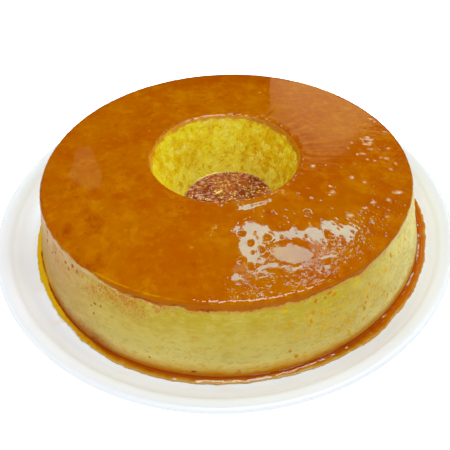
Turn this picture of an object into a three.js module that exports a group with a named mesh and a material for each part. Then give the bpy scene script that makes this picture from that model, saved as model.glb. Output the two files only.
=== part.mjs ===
// A ring-shaped leche flan (caramel custard) turned out of its mould onto a white coupe plate, with its caramel
// syrup lying round the foot and in the well of the ring.
//
// Millimetres, +Z up. The origin is the centre of the plate on the surface that it stands on.
// Every solid is a lathed profile. The flan's and the syrup's are then nudged out of round by a few low harmonics,
// as a soft custard is never exactly round once it has slid out of its mould.
import * as THREE from "three";

// ---------------------------------------------------------------- driving dimensions
const GAP = 0.3; // clearance between pieces that rest on or against each other

// plate
const PLATE_R = 135; // outer radius of the rim
const PLATE_T = 4.0; // thickness of the ware
const FOOT_H = 3.0; // height of the foot ring under the floor
const FOOT_R_IN = 78; // foot ring, inner and outer radius
const FOOT_R_OUT = 85;
const FLOOR_Z = FOOT_H + PLATE_T; // upper face of the flat floor
const FLOOR_R = 114; // where the floor starts to curve up
const WALL_CURVE_R = 16; // radius of that curve
const WALL_SLOPE = THREE.MathUtils.degToRad(60); // steepest slope, where the wall turns over into the rim
const RIM_SLOPE = THREE.MathUtils.degToRad(20); // slope of the rim where it meets the lip
const LIP_R = 1.6; // half-round lip

// flan: a ring with both walls sloping, widest at its foot
const FLAN_X = 1.7; // it stands a little off the plate's centre
const SYRUP_Z = 9.8; // level of the syrup round it
const TOP_Z = 47.2; // flat top
const BASE_R = 116.0; // outer radius at the syrup's level
const SHOULDER_R = 104.0; // outer radius where the top edge starts to round
const EDGE_R = 2.7; // rounding of the outer top edge
const HOLE_R_TOP = 43.4; // radius of the hole at the top
const HOLE_R_FOOT = 29.4; // and at the syrup's level
const HOLE_EDGE_R = 1.9; // rounding of the hole's top edge
const HOLE_LEAN_X = 2.0; // how far the hole's foot lies off its top
const HOLE_LEAN_Y = 0.9;
const CARAMEL_T = 3.6; // depth of the caramel-soaked layer
const FOOT_ROUND = 1.6; // rounding of the lower outer edge, under the syrup

// syrup
const POOL_R = 119.6; // mean outer radius of the ring of syrup
const WELL_DIP = 0.35; // how far the syrup's middle lies below its edge in the well

// facets round each piece
const SEG_PLATE = 72;
const SEG_FLAN = 72;
const SEG_WELL = 36;

// ---------------------------------------------------------------- shape functions
const TAU = Math.PI * 2;
const SPAN = TOP_Z - SYRUP_Z;
const height = (z) => (z - SYRUP_Z) / SPAN; // 0 at the syrup, 1 at the top

// the two walls of the ring
const wallR = (z) =>
  BASE_R - ((BASE_R - SHOULDER_R) * (z - SYRUP_Z)) / (TOP_Z - EDGE_R - SYRUP_Z);
const holeR = (z) => HOLE_R_FOOT + (HOLE_R_TOP - HOLE_R_FOOT) * height(z);

// harmonics: [count round, size, phase]
const wave = (terms, a) =>
  terms.reduce((sum, [n, size, phase]) => sum + size * Math.cos(n * a + phase), 0);
const BASE_WAVES = [
  [1, 0.5, 0.4],
  [3, 0.36, -0.35],
  [4, 0.33, 1.7],
  [7, 0.2, 3.1],
];
const SHOULDER_WAVES = [
  [2, 0.25, 1.2],
  [5, 0.16, 0.4],
];
const HOLE_WAVES = [
  [2, 0.4, 0.5],
  [5, 0.25, 1.7],
];
const POOL_WAVES = [
  [1, 1.0, 0.25],
  [3, 0.5, 0.1],
  [4, 0.37, 1.9],
  [8, 0.22, 2.7],
  [11, 0.13, -1.7],
];
const wallWobble = (a, z) => {
  const h = THREE.MathUtils.clamp(height(z), 0, 1);
  return (1 - h) * wave(BASE_WAVES, a) + h * wave(SHOULDER_WAVES, a);
};

// upper face of the plate at a radius: floor, hollow curve, rounded turn, rim
const wallEndR = FLOOR_R + WALL_CURVE_R * Math.sin(WALL_SLOPE);
const wallEndZ = FLOOR_Z + WALL_CURVE_R * (1 - Math.cos(WALL_SLOPE));
const rimR = PLATE_R - LIP_R; // where the rim meets the lip
const turnR = (rimR - wallEndR) / (Math.sin(WALL_SLOPE) - Math.sin(RIM_SLOPE));
function plateTop(r) {
  if (r <= FLOOR_R) return FLOOR_Z;
  if (r <= wallEndR)
    return FLOOR_Z + WALL_CURVE_R - Math.sqrt(WALL_CURVE_R ** 2 - (r - FLOOR_R) ** 2);
  const s = Math.max(
    Math.sin(WALL_SLOPE) - (r - wallEndR) / turnR,
    Math.sin(RIM_SLOPE),
  );
  return wallEndZ + turnR * (Math.sqrt(1 - s * s) - Math.cos(WALL_SLOPE));
}

// ---------------------------------------------------------------- helpers
const v2 = (r, z) => new THREE.Vector2(r, z);

// points of an arc in the profile's plane, from one angle to another, in degrees
function arcPoints(cr, cz, rad, from, to, n) {
  const curve = new THREE.EllipseCurve(
    cr,
    cz,
    rad,
    rad,
    THREE.MathUtils.degToRad(from),
    THREE.MathUtils.degToRad(to),
    to < from,
  );
  return curve.getPoints(n);
}

// A lathe about Z. LatheGeometry turns its profile about Y, so the result is laid over.
// nudge(r, angle, z) gives the vertex's place [x, y, z].
function turned(profile, segments, nudge) {
  const g = new THREE.LatheGeometry(profile, segments);
  g.rotateX(Math.PI / 2);
  const p = g.getAttribute("position");
  const step = TAU / segments;
  for (let i = 0; i < p.count; i++) {
    const x = p.getX(i);
    const y = p.getY(i);
    const r = Math.hypot(x, y);
    // the two rows of vertices at the seam get one and the same angle
    const k = Math.round(Math.atan2(y, x) / step);
    const a = ((k + segments) % segments) * step;
    p.setXYZ(i, ...nudge(r < 1e-6 ? 0 : r, a, p.getZ(i)));
  }
  g.deleteAttribute("uv");
  g.computeVertexNormals();
  return g;
}

const object = new THREE.Group();
function piece(name, geometry, material, x = 0) {
  const m = new THREE.Mesh(geometry, material);
  m.name = name;
  m.position.x = x;
  object.add(m);
}
const closed = (points) => [...points, points[0].clone()];

// ---------------------------------------------------------------- materials
const porcelain = new THREE.MeshStandardMaterial({
  color: 0xeef0ee,
  roughness: 0.2,
  metalness: 0,
});
const custardCream = new THREE.MeshStandardMaterial({
  color: 0xcdb96c,
  roughness: 0.45,
  metalness: 0,
});
const caramelGlaze = new THREE.MeshStandardMaterial({
  color: 0xb56207,
  roughness: 0.12,
  metalness: 0,
});
const syrup = new THREE.MeshStandardMaterial({
  color: 0x8e400b,
  roughness: 0.08,
  metalness: 0,
});

// ---------------------------------------------------------------- plate
{
  const at = (r) => v2(r, plateTop(r));
  // the underside runs parallel to the upper face
  const under = (r) => {
    const d = 0.01;
    const slope = Math.atan2(plateTop(r + d) - plateTop(r - d), 2 * d);
    return v2(r + PLATE_T * Math.sin(slope), plateTop(r) - PLATE_T * Math.cos(slope));
  };
  const lip = arcPoints(rimR, plateTop(rimR) - LIP_R, LIP_R, 100, -90, 6);
  const profile = [
    v2(0, FOOT_H),
    v2(FOOT_R_IN - 1, FOOT_H),
    v2(FOOT_R_IN, 0),
    v2(FOOT_R_OUT, 0),
    v2(FOOT_R_OUT + 1, FOOT_H),
    v2(FLOOR_R, FOOT_H),
    under(117),
    under(120),
    under(123),
    under(125.8),
    under(128.6),
    ...lip.reverse(),
    at(131.6),
    at(129.7),
    at(wallEndR),
    at(126.2),
    at(124.2),
    at(121.6),
    at(118.4),
    at(FLOOR_R),
    v2(60, FLOOR_Z),
    v2(0, FLOOR_Z),
  ];
  const round = (r, a, z) => [r * Math.cos(a), r * Math.sin(a), z];
  piece("plate", turned(profile, SEG_PLATE, round), porcelain);
}

// ---------------------------------------------------------------- flan
// Both of its pieces are nudged alike: the hole's wall by one set of waves, the outer wall by another.
function flanNudge(r, a, z) {
  const across = (r - HOLE_R_TOP) / (SHOULDER_R - HOLE_R_TOP);
  const outer = THREE.MathUtils.smoothstep(across, 0.55, 1);
  const inner = 1 - THREE.MathUtils.smoothstep(across, 0, 0.3);
  const rr = r + outer * wallWobble(a, z) + inner * wave(HOLE_WAVES, a);
  const lean = inner * (1 - height(z));
  const x = rr * Math.cos(a) + lean * HOLE_LEAN_X;
  const y = rr * Math.sin(a) + lean * HOLE_LEAN_Y;
  // the foot lies on the plate, also where the plate starts to rise
  const rest = plateTop(Math.hypot(x + FLAN_X, y)) + GAP;
  return [x, y, Math.max(z, rest)];
}
const layerZ = TOP_Z - CARAMEL_T; // where the caramel layer meets the custard
{
  const top = layerZ - GAP / 2;
  const foot = FLOOR_Z + GAP;
  const footR = wallR(foot + FOOT_ROUND);
  const profile = [
    v2(holeR(foot), foot),
    v2(70, foot),
    v2(108, foot),
    ...arcPoints(footR - FOOT_ROUND, foot + FOOT_ROUND, FOOT_ROUND, -90, 0, 3),
    ...[0.06, 0.26, 0.5, 0.74].map((t) => {
      const z = SYRUP_Z + t * SPAN;
      return v2(wallR(z), z);
    }),
    v2(wallR(top), top),
    v2(84, top),
    v2(58, top),
    v2(holeR(top), top),
    ...[0.74, 0.5, 0.26, 0].map((t) => {
      const z = SYRUP_Z + t * SPAN;
      return v2(holeR(z), z);
    }),
  ];
  piece("custard", turned(closed(profile), SEG_FLAN, flanNudge), custardCream, FLAN_X);
}

// ---------------------------------------------------------------- caramel-soaked top of the flan
{
  const base = layerZ + GAP / 2;
  const profile = [
    v2(holeR(base), base),
    v2(58, base),
    v2(84, base),
    v2(wallR(base), base),
    ...arcPoints(SHOULDER_R - EDGE_R, TOP_Z - EDGE_R, EDGE_R, 18, 90, 4),
    v2(84, TOP_Z),
    v2(58, TOP_Z),
    ...arcPoints(
      HOLE_R_TOP - 0.5 + HOLE_EDGE_R,
      TOP_Z - HOLE_EDGE_R,
      HOLE_EDGE_R,
      90,
      162,
      3,
    ),
  ];
  piece(
    "caramel_layer",
    turned(closed(profile), SEG_FLAN, flanNudge),
    caramelGlaze,
    FLAN_X,
  );
}

// ---------------------------------------------------------------- ring of syrup round the foot
{
  // It fills the corner between the custard's wall and the rising plate and ends in a rounded, uneven edge.
  const innerR = wallR(FLOOR_Z + GAP + FOOT_ROUND) + GAP; // clear of the wall at its widest
  const ring = [
    { s: 0, z: SYRUP_Z },
    { s: 0.62, z: SYRUP_Z - 0.05 },
    { s: 0.88, z: SYRUP_Z - 0.25 },
    { s: 1, z: SYRUP_Z - 0.55 },
    { s: 0.97, under: true },
    { s: 0.5, under: true },
    { s: 0, under: true },
  ];
  // s runs from the custard's wall to the syrup's outer edge, so it is carried by the profile's radius
  const radius = (s) => innerR + s * (POOL_R - innerR);
  const profile = ring
    .map((q) => v2(radius(q.s), q.under ? 0 : q.z))
    .reverse();
  const nudge = (r, a, z) => {
    const s = THREE.MathUtils.clamp((r - innerR) / (POOL_R - innerR), 0, 1);
    const rr = r + (1 - s) * wave(BASE_WAVES, a) + s * wave(POOL_WAVES, a);
    const x = rr * Math.cos(a);
    const y = rr * Math.sin(a);
    const floor = plateTop(Math.hypot(x + FLAN_X, y)) + GAP;
    return [x, y, z === 0 ? floor : Math.max(z, floor + 0.12)];
  };
  piece("syrup_ring", turned(closed(profile), SEG_FLAN, nudge), syrup, FLAN_X);
}

// ---------------------------------------------------------------- syrup in the well of the ring
{
  const r = (z) => holeR(z) - GAP - 0.1;
  const low = FLOOR_Z + GAP;
  const profile = [
    v2(0, low),
    v2(r(low) - 0.2, low),
    v2(r(SYRUP_Z), SYRUP_Z),
    v2(r(SYRUP_Z) - 1.4, SYRUP_Z - WELL_DIP),
    v2(0, SYRUP_Z - WELL_DIP),
  ];
  const nudge = (rr, a, z) => {
    const w = Math.min(rr / HOLE_R_FOOT, 1) * wave(HOLE_WAVES, a);
    const lean = 1 - height(z);
    return [
      (rr + w) * Math.cos(a) + HOLE_LEAN_X * lean,
      (rr + w) * Math.sin(a) + HOLE_LEAN_Y * lean,
      z,
    ];
  };
  piece("syrup_well", turned(profile, SEG_WELL, nudge), syrup, FLAN_X);
}

export default object;
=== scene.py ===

import math

import bpy
import numpy as np
from mathutils import Matrix, Vector


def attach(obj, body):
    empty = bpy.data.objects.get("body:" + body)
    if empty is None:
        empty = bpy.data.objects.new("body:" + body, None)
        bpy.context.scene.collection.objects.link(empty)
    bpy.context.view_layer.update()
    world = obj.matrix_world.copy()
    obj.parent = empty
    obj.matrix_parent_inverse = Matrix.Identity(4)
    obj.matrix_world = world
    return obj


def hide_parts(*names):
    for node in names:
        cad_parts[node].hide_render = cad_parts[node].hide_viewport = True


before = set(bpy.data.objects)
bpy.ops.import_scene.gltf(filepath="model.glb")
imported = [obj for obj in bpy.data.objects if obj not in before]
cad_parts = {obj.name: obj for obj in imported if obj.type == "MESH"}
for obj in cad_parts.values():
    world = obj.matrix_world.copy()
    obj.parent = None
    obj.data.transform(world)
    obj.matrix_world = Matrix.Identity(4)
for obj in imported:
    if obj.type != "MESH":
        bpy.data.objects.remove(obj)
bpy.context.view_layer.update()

MM = 0.001
TAU = 2 * math.pi

# ------------------------------------------------------------------ sizes, as in part.mjs, in mm
GAP = 0.3
PLATE_R, PLATE_T, FOOT_H, FOOT_R_IN, FOOT_R_OUT = 135.0, 4.0, 3.0, 78.0, 85.0
FLOOR_Z = FOOT_H + PLATE_T
FLOOR_R, WALL_CURVE_R = 114.0, 16.0
WALL_SLOPE, RIM_SLOPE, LIP_R = math.radians(60), math.radians(20), 1.6
FLAN_X, SYRUP_Z, TOP_Z = 1.7, 9.8, 47.2
BASE_R, SHOULDER_R, EDGE_R = 116.0, 104.0, 2.7
HOLE_R_TOP, HOLE_R_FOOT, HOLE_EDGE_R = 43.4, 29.4, 1.9
HOLE_LEAN = (2.0, 0.9)
CARAMEL_T, POOL_R = 3.6, 119.6
SPAN = TOP_Z - SYRUP_Z

BASE_WAVES = [(1, 0.5, 0.4), (3, 0.36, -0.35), (4, 0.33, 1.7), (7, 0.2, 3.1)]
SHOULDER_WAVES = [(2, 0.25, 1.2), (5, 0.16, 0.4)]
HOLE_WAVES = [(2, 0.4, 0.5), (5, 0.25, 1.7)]
POOL_WAVES = [(1, 1.0, 0.25), (3, 0.5, 0.1), (4, 0.37, 1.9), (8, 0.22, 2.7), (11, 0.13, -1.7)]


def wave(terms, a):
    return sum(size * np.cos(n * a + phase) for n, size, phase in terms)


def height(z):
    return (z - SYRUP_Z) / SPAN


def wall_r(z):
    return BASE_R - (BASE_R - SHOULDER_R) * (z - SYRUP_Z) / (TOP_Z - EDGE_R - SYRUP_Z)


def hole_r(z):
    return HOLE_R_FOOT + (HOLE_R_TOP - HOLE_R_FOOT) * height(z)


def smooth(x, lo, hi):
    t = np.clip((x - lo) / (hi - lo), 0, 1)
    return t * t * (3 - 2 * t)


def wall_wobble(a, z):
    h = np.clip(height(z), 0, 1)
    return (1 - h) * wave(BASE_WAVES, a) + h * wave(SHOULDER_WAVES, a)


WALL_END_R = FLOOR_R + WALL_CURVE_R * math.sin(WALL_SLOPE)
WALL_END_Z = FLOOR_Z + WALL_CURVE_R * (1 - math.cos(WALL_SLOPE))
RIM_R = PLATE_R - LIP_R
TURN_R = (RIM_R - WALL_END_R) / (math.sin(WALL_SLOPE) - math.sin(RIM_SLOPE))


def plate_top(r):
    r = np.asarray(r, float)
    bend = FLOOR_Z + WALL_CURVE_R - np.sqrt(
        np.maximum(WALL_CURVE_R**2 - np.clip(r - FLOOR_R, 0, WALL_CURVE_R) ** 2, 0)
    )
    s = np.maximum(math.sin(WALL_SLOPE) - (r - WALL_END_R) / TURN_R, math.sin(RIM_SLOPE))
    turn = WALL_END_Z + TURN_R * (np.sqrt(1 - np.minimum(s, 1) ** 2) - math.cos(WALL_SLOPE))
    return np.where(r <= FLOOR_R, FLOOR_Z, np.where(r <= WALL_END_R, bend, turn))


# ------------------------------------------------------------------ noise, on arrays of points in mm
def _hash(ix, iy, iz, seed):
    h = (ix * 73856093) ^ (iy * 19349663) ^ (iz * 83492791) ^ (seed * 40503 + 977)
    h = (h ^ (h >> 13)) & 0x7FFFFFFF
    h = (h * 1274126177) & 0x7FFFFFFF
    h = h ^ (h >> 15)
    h = (h * 668265263) & 0x7FFFFFFF
    return ((h >> 8) & 0xFFFF) / 32767.5 - 1.0


def noise(p, seed=0):
    """Smooth value noise in -1..1 at points p (..., 3), one cell a unit."""
    i = np.floor(p).astype(np.int64)
    f = p - i
    f = f * f * f * (f * (f * 6 - 15) + 10)
    out = 0.0
    for dx in (0, 1):
        wx = f[..., 0] if dx else 1 - f[..., 0]
        for dy in (0, 1):
            wy = f[..., 1] if dy else 1 - f[..., 1]
            for dz in (0, 1):
                wz = f[..., 2] if dz else 1 - f[..., 2]
                out = out + wx * wy * wz * _hash(i[..., 0] + dx, i[..., 1] + dy, i[..., 2] + dz, seed)
    return out


def fbm(p, cell, octaves=3, seed=0, gain=0.5):
    """Sum of octaves, the widest with cells of that many mm (one number, or one for each axis)."""
    cell = np.asarray(cell, float)
    total, amp, norm = 0.0, 1.0, 0.0
    q = p / cell
    for k in range(octaves):
        total = total + amp * noise(q + 17.3 * k, seed + 31 * k)
        norm += amp
        amp *= gain
        q = q * 2.03
    return total / norm


def xyz(x, y, z):
    return np.stack(np.broadcast_arrays(x, y, z), -1).astype(float)


# ------------------------------------------------------------------ meshes
def grid_mesh(name, points, values=None, flip=False, first=False, last=False):
    """A sheet of quads from points (rows, columns, 3) in mm, closed round its columns. first and last say whether
    the first and the last row are closed by a fan."""
    rows, cols = points.shape[:2]
    co = (points * MM).reshape(-1, 3)
    # rows that lie on each other keep their own shading and get no faces between them
    apart = np.abs(np.diff(points, axis=0)).max(axis=(1, 2)) > 1e-5
    r, c = np.meshgrid(np.arange(rows - 1)[apart], np.arange(cols), indexing="ij")
    c2 = (c + 1) % cols
    quad = np.stack([r * cols + c, r * cols + c2, (r + 1) * cols + c2, (r + 1) * cols + c], -1).reshape(-1, 4)
    k = np.arange(cols)
    tris = []
    extra = []
    if first:
        tris.append(np.stack([np.full(cols, len(co)), (k + 1) % cols, k], -1))
        co = np.concatenate([co, co[:cols].mean(0)[None]])
        extra.append(0)
    if last:
        b = (rows - 1) * cols
        tris.append(np.stack([np.full(cols, len(co)), b + k, b + (k + 1) % cols], -1))
        co = np.concatenate([co, co[b : b + cols].mean(0)[None]])
        extra.append(b)
    tri = np.concatenate(tris) if tris else np.zeros((0, 3), int)
    if flip:
        quad, tri = quad[:, ::-1], tri[:, ::-1]
    me = bpy.data.meshes.new(name)
    me.vertices.add(len(co))
    me.vertices.foreach_set("co", co.reshape(-1).astype(np.float32))
    me.loops.add(len(quad) * 4 + len(tri) * 3)
    me.loops.foreach_set("vertex_index", np.concatenate([quad.reshape(-1), tri.reshape(-1)]).astype(np.int32))
    me.polygons.add(len(quad) + len(tri))
    starts = np.concatenate([np.arange(len(quad)) * 4, len(quad) * 4 + np.arange(len(tri)) * 3])
    me.polygons.foreach_set("loop_start", starts.astype(np.int32))
    me.update(calc_edges=True)
    me.validate()
    me.shade_smooth()
    for key, v in (values or {}).items():
        v = np.broadcast_to(v, (rows, cols)).reshape(-1)
        at = me.attributes.new(key, "FLOAT", "POINT")
        at.data.foreach_set("value", np.concatenate([v, v[extra]]).astype(np.float32))
    return me


def tri_mesh(name, verts, faces, values=None):
    me = bpy.data.meshes.new(name)
    me.from_pydata([tuple(v) for v in np.asarray(verts) * MM], [], [tuple(int(i) for i in f) for f in faces])
    me.validate()
    me.update()
    me.shade_smooth()
    for key, v in (values or {}).items():
        at = me.attributes.new(key, "FLOAT", "POINT")
        at.data.foreach_set("value", np.asarray(v, np.float32))
    return me


def place(name, mesh, material, node=None):
    ob = bpy.data.objects.new(name, mesh)
    bpy.context.scene.collection.objects.link(ob)
    mesh.materials.append(material)
    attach(ob, "root")
    if node:
        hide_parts(node)
    return ob


def polyline(parts, step):
    """Points along a chain of (r, z) corners, about one step apart, the corners kept."""
    parts = np.asarray(parts, float)
    out = [parts[:1]]
    for a, b in zip(parts[:-1], parts[1:]):
        n = max(1, int(round(np.linalg.norm(b - a) / step)))
        out.append(a + (b - a) * (np.arange(1, n + 1) / n)[:, None])
    return np.concatenate(out)


def arc(cr, cz, rad, start, end, n):
    t = np.radians(np.linspace(start, end, n + 1))
    return np.stack([cr + rad * np.cos(t), cz + rad * np.sin(t)], -1)


def profile_normals(pr):
    d = np.gradient(pr, axis=0)
    n = np.stack([-d[:, 1], d[:, 0]], -1)
    return n / np.maximum(np.linalg.norm(n, axis=1), 1e-9)[:, None]


# ------------------------------------------------------------------ materials
def lin(r, g, b):
    """sRGB 0..255 to linear rgba."""
    f = lambda v: v / 12.92 if v <= 0.04045 else ((v + 0.055) / 1.055) ** 2.4
    return tuple(f(v / 255) for v in (r, g, b)) + (1.0,)


class Nodes:
    """Short names for making a node material."""

    def __init__(self, name):
        self.mat = bpy.data.materials.new(name)
        self.mat.use_nodes = True
        self.nt = self.mat.node_tree
        self.nt.nodes.clear()
        self.out = self.nt.nodes.new("ShaderNodeOutputMaterial")
        self.bsdf = self.nt.nodes.new("ShaderNodeBsdfPrincipled")
        self.nt.links.new(self.bsdf.outputs[0], self.out.inputs[0])
        self.coord = self.nt.nodes.new("ShaderNodeTexCoord").outputs["Object"]

    def put(self, socket, value):
        if isinstance(value, bpy.types.NodeSocket):
            self.nt.links.new(value, socket)
        else:
            socket.default_value = value

    def set(self, **inputs):
        for k, v in inputs.items():
            self.put(self.bsdf.inputs[k.replace("_", " ")], v)

    def node(self, kind, out=0, props=None, **inputs):
        n = self.nt.nodes.new(kind)
        for k, v in (props or {}).items():
            setattr(n, k, v)
        for k, v in inputs.items():
            self.put(n.inputs[int(k[1:]) if k[0] == "i" and k[1:].isdigit() else k.replace("_", " ")], v)
        return n.outputs[out]

    def mapped(self, scale=(1, 1, 1), move=(0, 0, 0)):
        return self.node("ShaderNodeMapping", Vector=self.coord, Scale=scale, Location=move)

    def noise(self, scale, detail=3.0, rough=0.55, vec=None, warp=0.0, out=0):
        return self.node("ShaderNodeTexNoise", out=out, Vector=vec or self.coord, Scale=scale, Detail=detail,
                         Roughness=rough, Distortion=warp)

    def voronoi(self, scale, vec=None, feature="F1", rand=1.0, out=0):
        return self.node("ShaderNodeTexVoronoi", out=out, props={"feature": feature}, Vector=vec or self.coord,
                         Scale=scale, Randomness=rand)

    def attr(self, name):
        return self.node("ShaderNodeAttribute", out=2, props={"attribute_name": name})

    def math(self, op, a, b=0.0, c=0.0, clamp=False):
        return self.node("ShaderNodeMath", props={"operation": op, "use_clamp": clamp}, i0=a, i1=b, i2=c)

    def map(self, v, lo, hi, to_lo=0.0, to_hi=1.0, soft=True):
        return self.node("ShaderNodeMapRange", props={"interpolation_type": "SMOOTHSTEP" if soft else "LINEAR"},
                         Value=v, From_Min=lo, From_Max=hi, To_Min=to_lo, To_Max=to_hi)

    def mix(self, fac, a, b, blend="MIX"):
        n = self.nt.nodes.new("ShaderNodeMix")
        n.data_type = "RGBA"
        n.blend_type = blend
        self.put(n.inputs[0], fac)
        self.put(n.inputs[6], a)
        self.put(n.inputs[7], b)
        return n.outputs[2]

    def ramp(self, fac, stops):
        n = self.nt.nodes.new("ShaderNodeValToRGB")
        el = n.color_ramp.elements
        while len(el) < len(stops):
            el.new(0.5)
        for e, (at, colour) in zip(el, stops):
            e.position, e.color = at, colour
        self.put(n.inputs[0], fac)
        return n.outputs[0]

    def bump(self, height_value, distance, strength=1.0, normal=None):
        n = self.nt.nodes.new("ShaderNodeBump")
        n.inputs["Strength"].default_value = strength
        n.inputs["Distance"].default_value = distance
        self.put(n.inputs["Height"], height_value)
        if normal is not None:
            self.put(n.inputs["Normal"], normal)
        return n.outputs[0]


def plate_material():
    m = Nodes("plate_glaze")
    stain = m.attr("stain")  # painted warm bounce light beside the pool, in patches
    rim = m.attr("rim")
    cloud = m.noise(14, 3, 0.5)
    fine = m.noise(420, 2, 0.5)
    base = m.mix(cloud, lin(241, 247, 254), lin(245, 250, 255))
    base = m.mix(m.math("MULTIPLY", m.map(m.noise(70, 4, 0.6), 0.55, 0.75), 0.25), base, lin(236, 238, 238))
    # painted shade: greyer towards the outer rim and at the sides, less in the trough, to offset how the light falls on
    # the plate
    base = m.mix(rim, base, lin(206, 206, 208))
    base = m.mix(m.math("MULTIPLY", stain, 0.35), base, lin(228, 196, 160))
    m.set(Base_Color=base, Roughness=m.map(fine, 0.3, 0.7, 0.2, 0.27), IOR=1.4)
    m.set(Normal=m.bump(m.noise(60, 2, 0.5), 0.0002, 0.25))
    return m.mat


def bare_custard(m):
    """The custard's colour on the outer wall, from the attributes h, round, under and cream, with painted light in it:
    paler low down, darker high up, a painted sheen at the left and painted light at the right.
    """
    h = m.attr("h")  # 0 at the syrup, 1 at the top
    side = m.attr("round")  # -1 at the left of the front, +1 at the right
    under = m.attr("under")  # caramel stain under the top layer
    cream = m.attr("cream")  # pale lip where the layer ends; on the side wall also a painted highlight on one small bump
    big = m.noise(22, 4, 0.6, warp=0.5)
    mid = m.noise(110, 4, 0.65)
    flat = m.noise(260, 4, 0.62, vec=m.mapped((1, 1, 2.2)), warp=0.3)
    fine = m.noise(700, 3, 0.65)
    # painted light: paler low down where the plate's bounce light falls, darker olive high up in shade
    base = m.ramp(m.math("ADD", h, m.math("MULTIPLY", m.math("SUBTRACT", big, 0.5), 0.4)), [
        (0.02, CUSTARD_LOW_BOUNCE_LIT), (0.3, CUSTARD_PALE), (0.62, CUSTARD), (0.9, CUSTARD_HIGH_SHADED),
    ])
    # left of the front: caramel-stained custard with a painted pinkish sheen over it
    base = m.mix(m.math("MULTIPLY", m.map(side, -0.2, -0.85), m.map(big, 0.35, 0.6, 0.55, 0.95)), base, CUSTARD_LEFT_STAIN_SHEEN)
    sheen = m.math("MULTIPLY", m.map(side, -0.35, -0.9), m.map(h, 0.45, 0.9))
    base = m.mix(m.math("MULTIPLY", sheen, 0.8), base, lin(190, 156, 128))
    # painted light: the right side paler where the light falls on it
    base = m.mix(m.math("MULTIPLY", m.map(side, 0.3, 0.95), 0.85), base, CUSTARD_RIGHT_LIT)
    base = m.mix(m.math("MULTIPLY", m.map(mid, 0.5, 0.72), 0.4), base, CUSTARD_PALE)
    base = m.mix(m.math("MULTIPLY", m.map(mid, 0.46, 0.3), 0.4), base, CUSTARD_OLIVE)
    base = m.mix(m.math("MULTIPLY", m.map(flat, 0.5, 0.62), 0.32), base, CUSTARD_PALE)
    base = m.mix(m.math("MULTIPLY", m.map(flat, 0.46, 0.36), 0.45), base, CUSTARD_OLIVE)
    base = m.mix(m.math("MULTIPLY", m.map(fine, 0.56, 0.75), 0.25), base, CUSTARD_PALE)
    base = m.mix(m.math("MULTIPLY", under, m.map(mid, 0.35, 0.6, 0.9, 0.6)), base, STAIN)
    crumbs = m.math("MULTIPLY", under, m.map(fine, 0.54, 0.62))
    base = m.mix(m.math("MULTIPLY", crumbs, 0.55), base, lin(156, 80, 14))
    return m.mix(m.math("MULTIPLY", cream, m.map(mid, 0.42, 0.6, 0.1, 0.75)), base, lin(200, 168, 108))


def bare_hole(m):
    """The custard's colour in the hole, from the attributes h, east and stain, with painted light: paler low down and
    painted shade on the east side.
    """
    east = m.attr("east")  # +1 towards +X
    stain = m.attr("stain")  # caramel drawn down from the rim
    big = m.noise(60, 4, 0.62, warp=0.6)
    mid = m.noise(170, 4, 0.68, warp=0.3)
    fine = m.noise(560, 3, 0.62)
    base = m.mix(m.map(big, 0.40, 0.60), HOLE_GOLD, HOLE_YELLOW)
    # painted light: paler towards the foot, standing in for light glowing through the custard
    base = m.mix(m.map(m.attr("h"), 0.5, 0.05, 0.0, 0.55), base, lin(238, 222, 76))
    base = m.mix(m.math("MULTIPLY", m.map(mid, 0.52, 0.64), 0.85), base, HOLE_PALE)
    base = m.mix(m.math("MULTIPLY", m.map(mid, 0.46, 0.36), 0.85), base, HOLE_OLIVE)
    base = m.mix(m.math("MULTIPLY", m.map(fine, 0.58, 0.70), 0.45), base, HOLE_PALE)
    base = m.mix(m.math("MULTIPLY", m.map(fine, 0.43, 0.33), 0.45), base, HOLE_OLIVE)
    # painted shade: the east side of the hole darker olive, facing away from the light
    base = m.mix(m.math("MULTIPLY", m.map(east, 0.2, 1.0), m.map(mid, 0.55, 0.42, 0.2, 0.8)), base, HOLE_OLIVE)
    rust = m.math("MULTIPLY", m.map(east, -0.1, 0.7, 0.12, 1.0), m.map(m.noise(420, 3, 0.7, vec=m.mapped((1, 1, 0.5))), 0.56, 0.64))
    base = m.mix(m.math("MULTIPLY", rust, 0.7), base, HOLE_STAIN)
    return m.mix(stain, base, m.mix(m.map(east, 0.0, 0.8), HOLE_STAIN, lin(166, 84, 0)))


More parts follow.
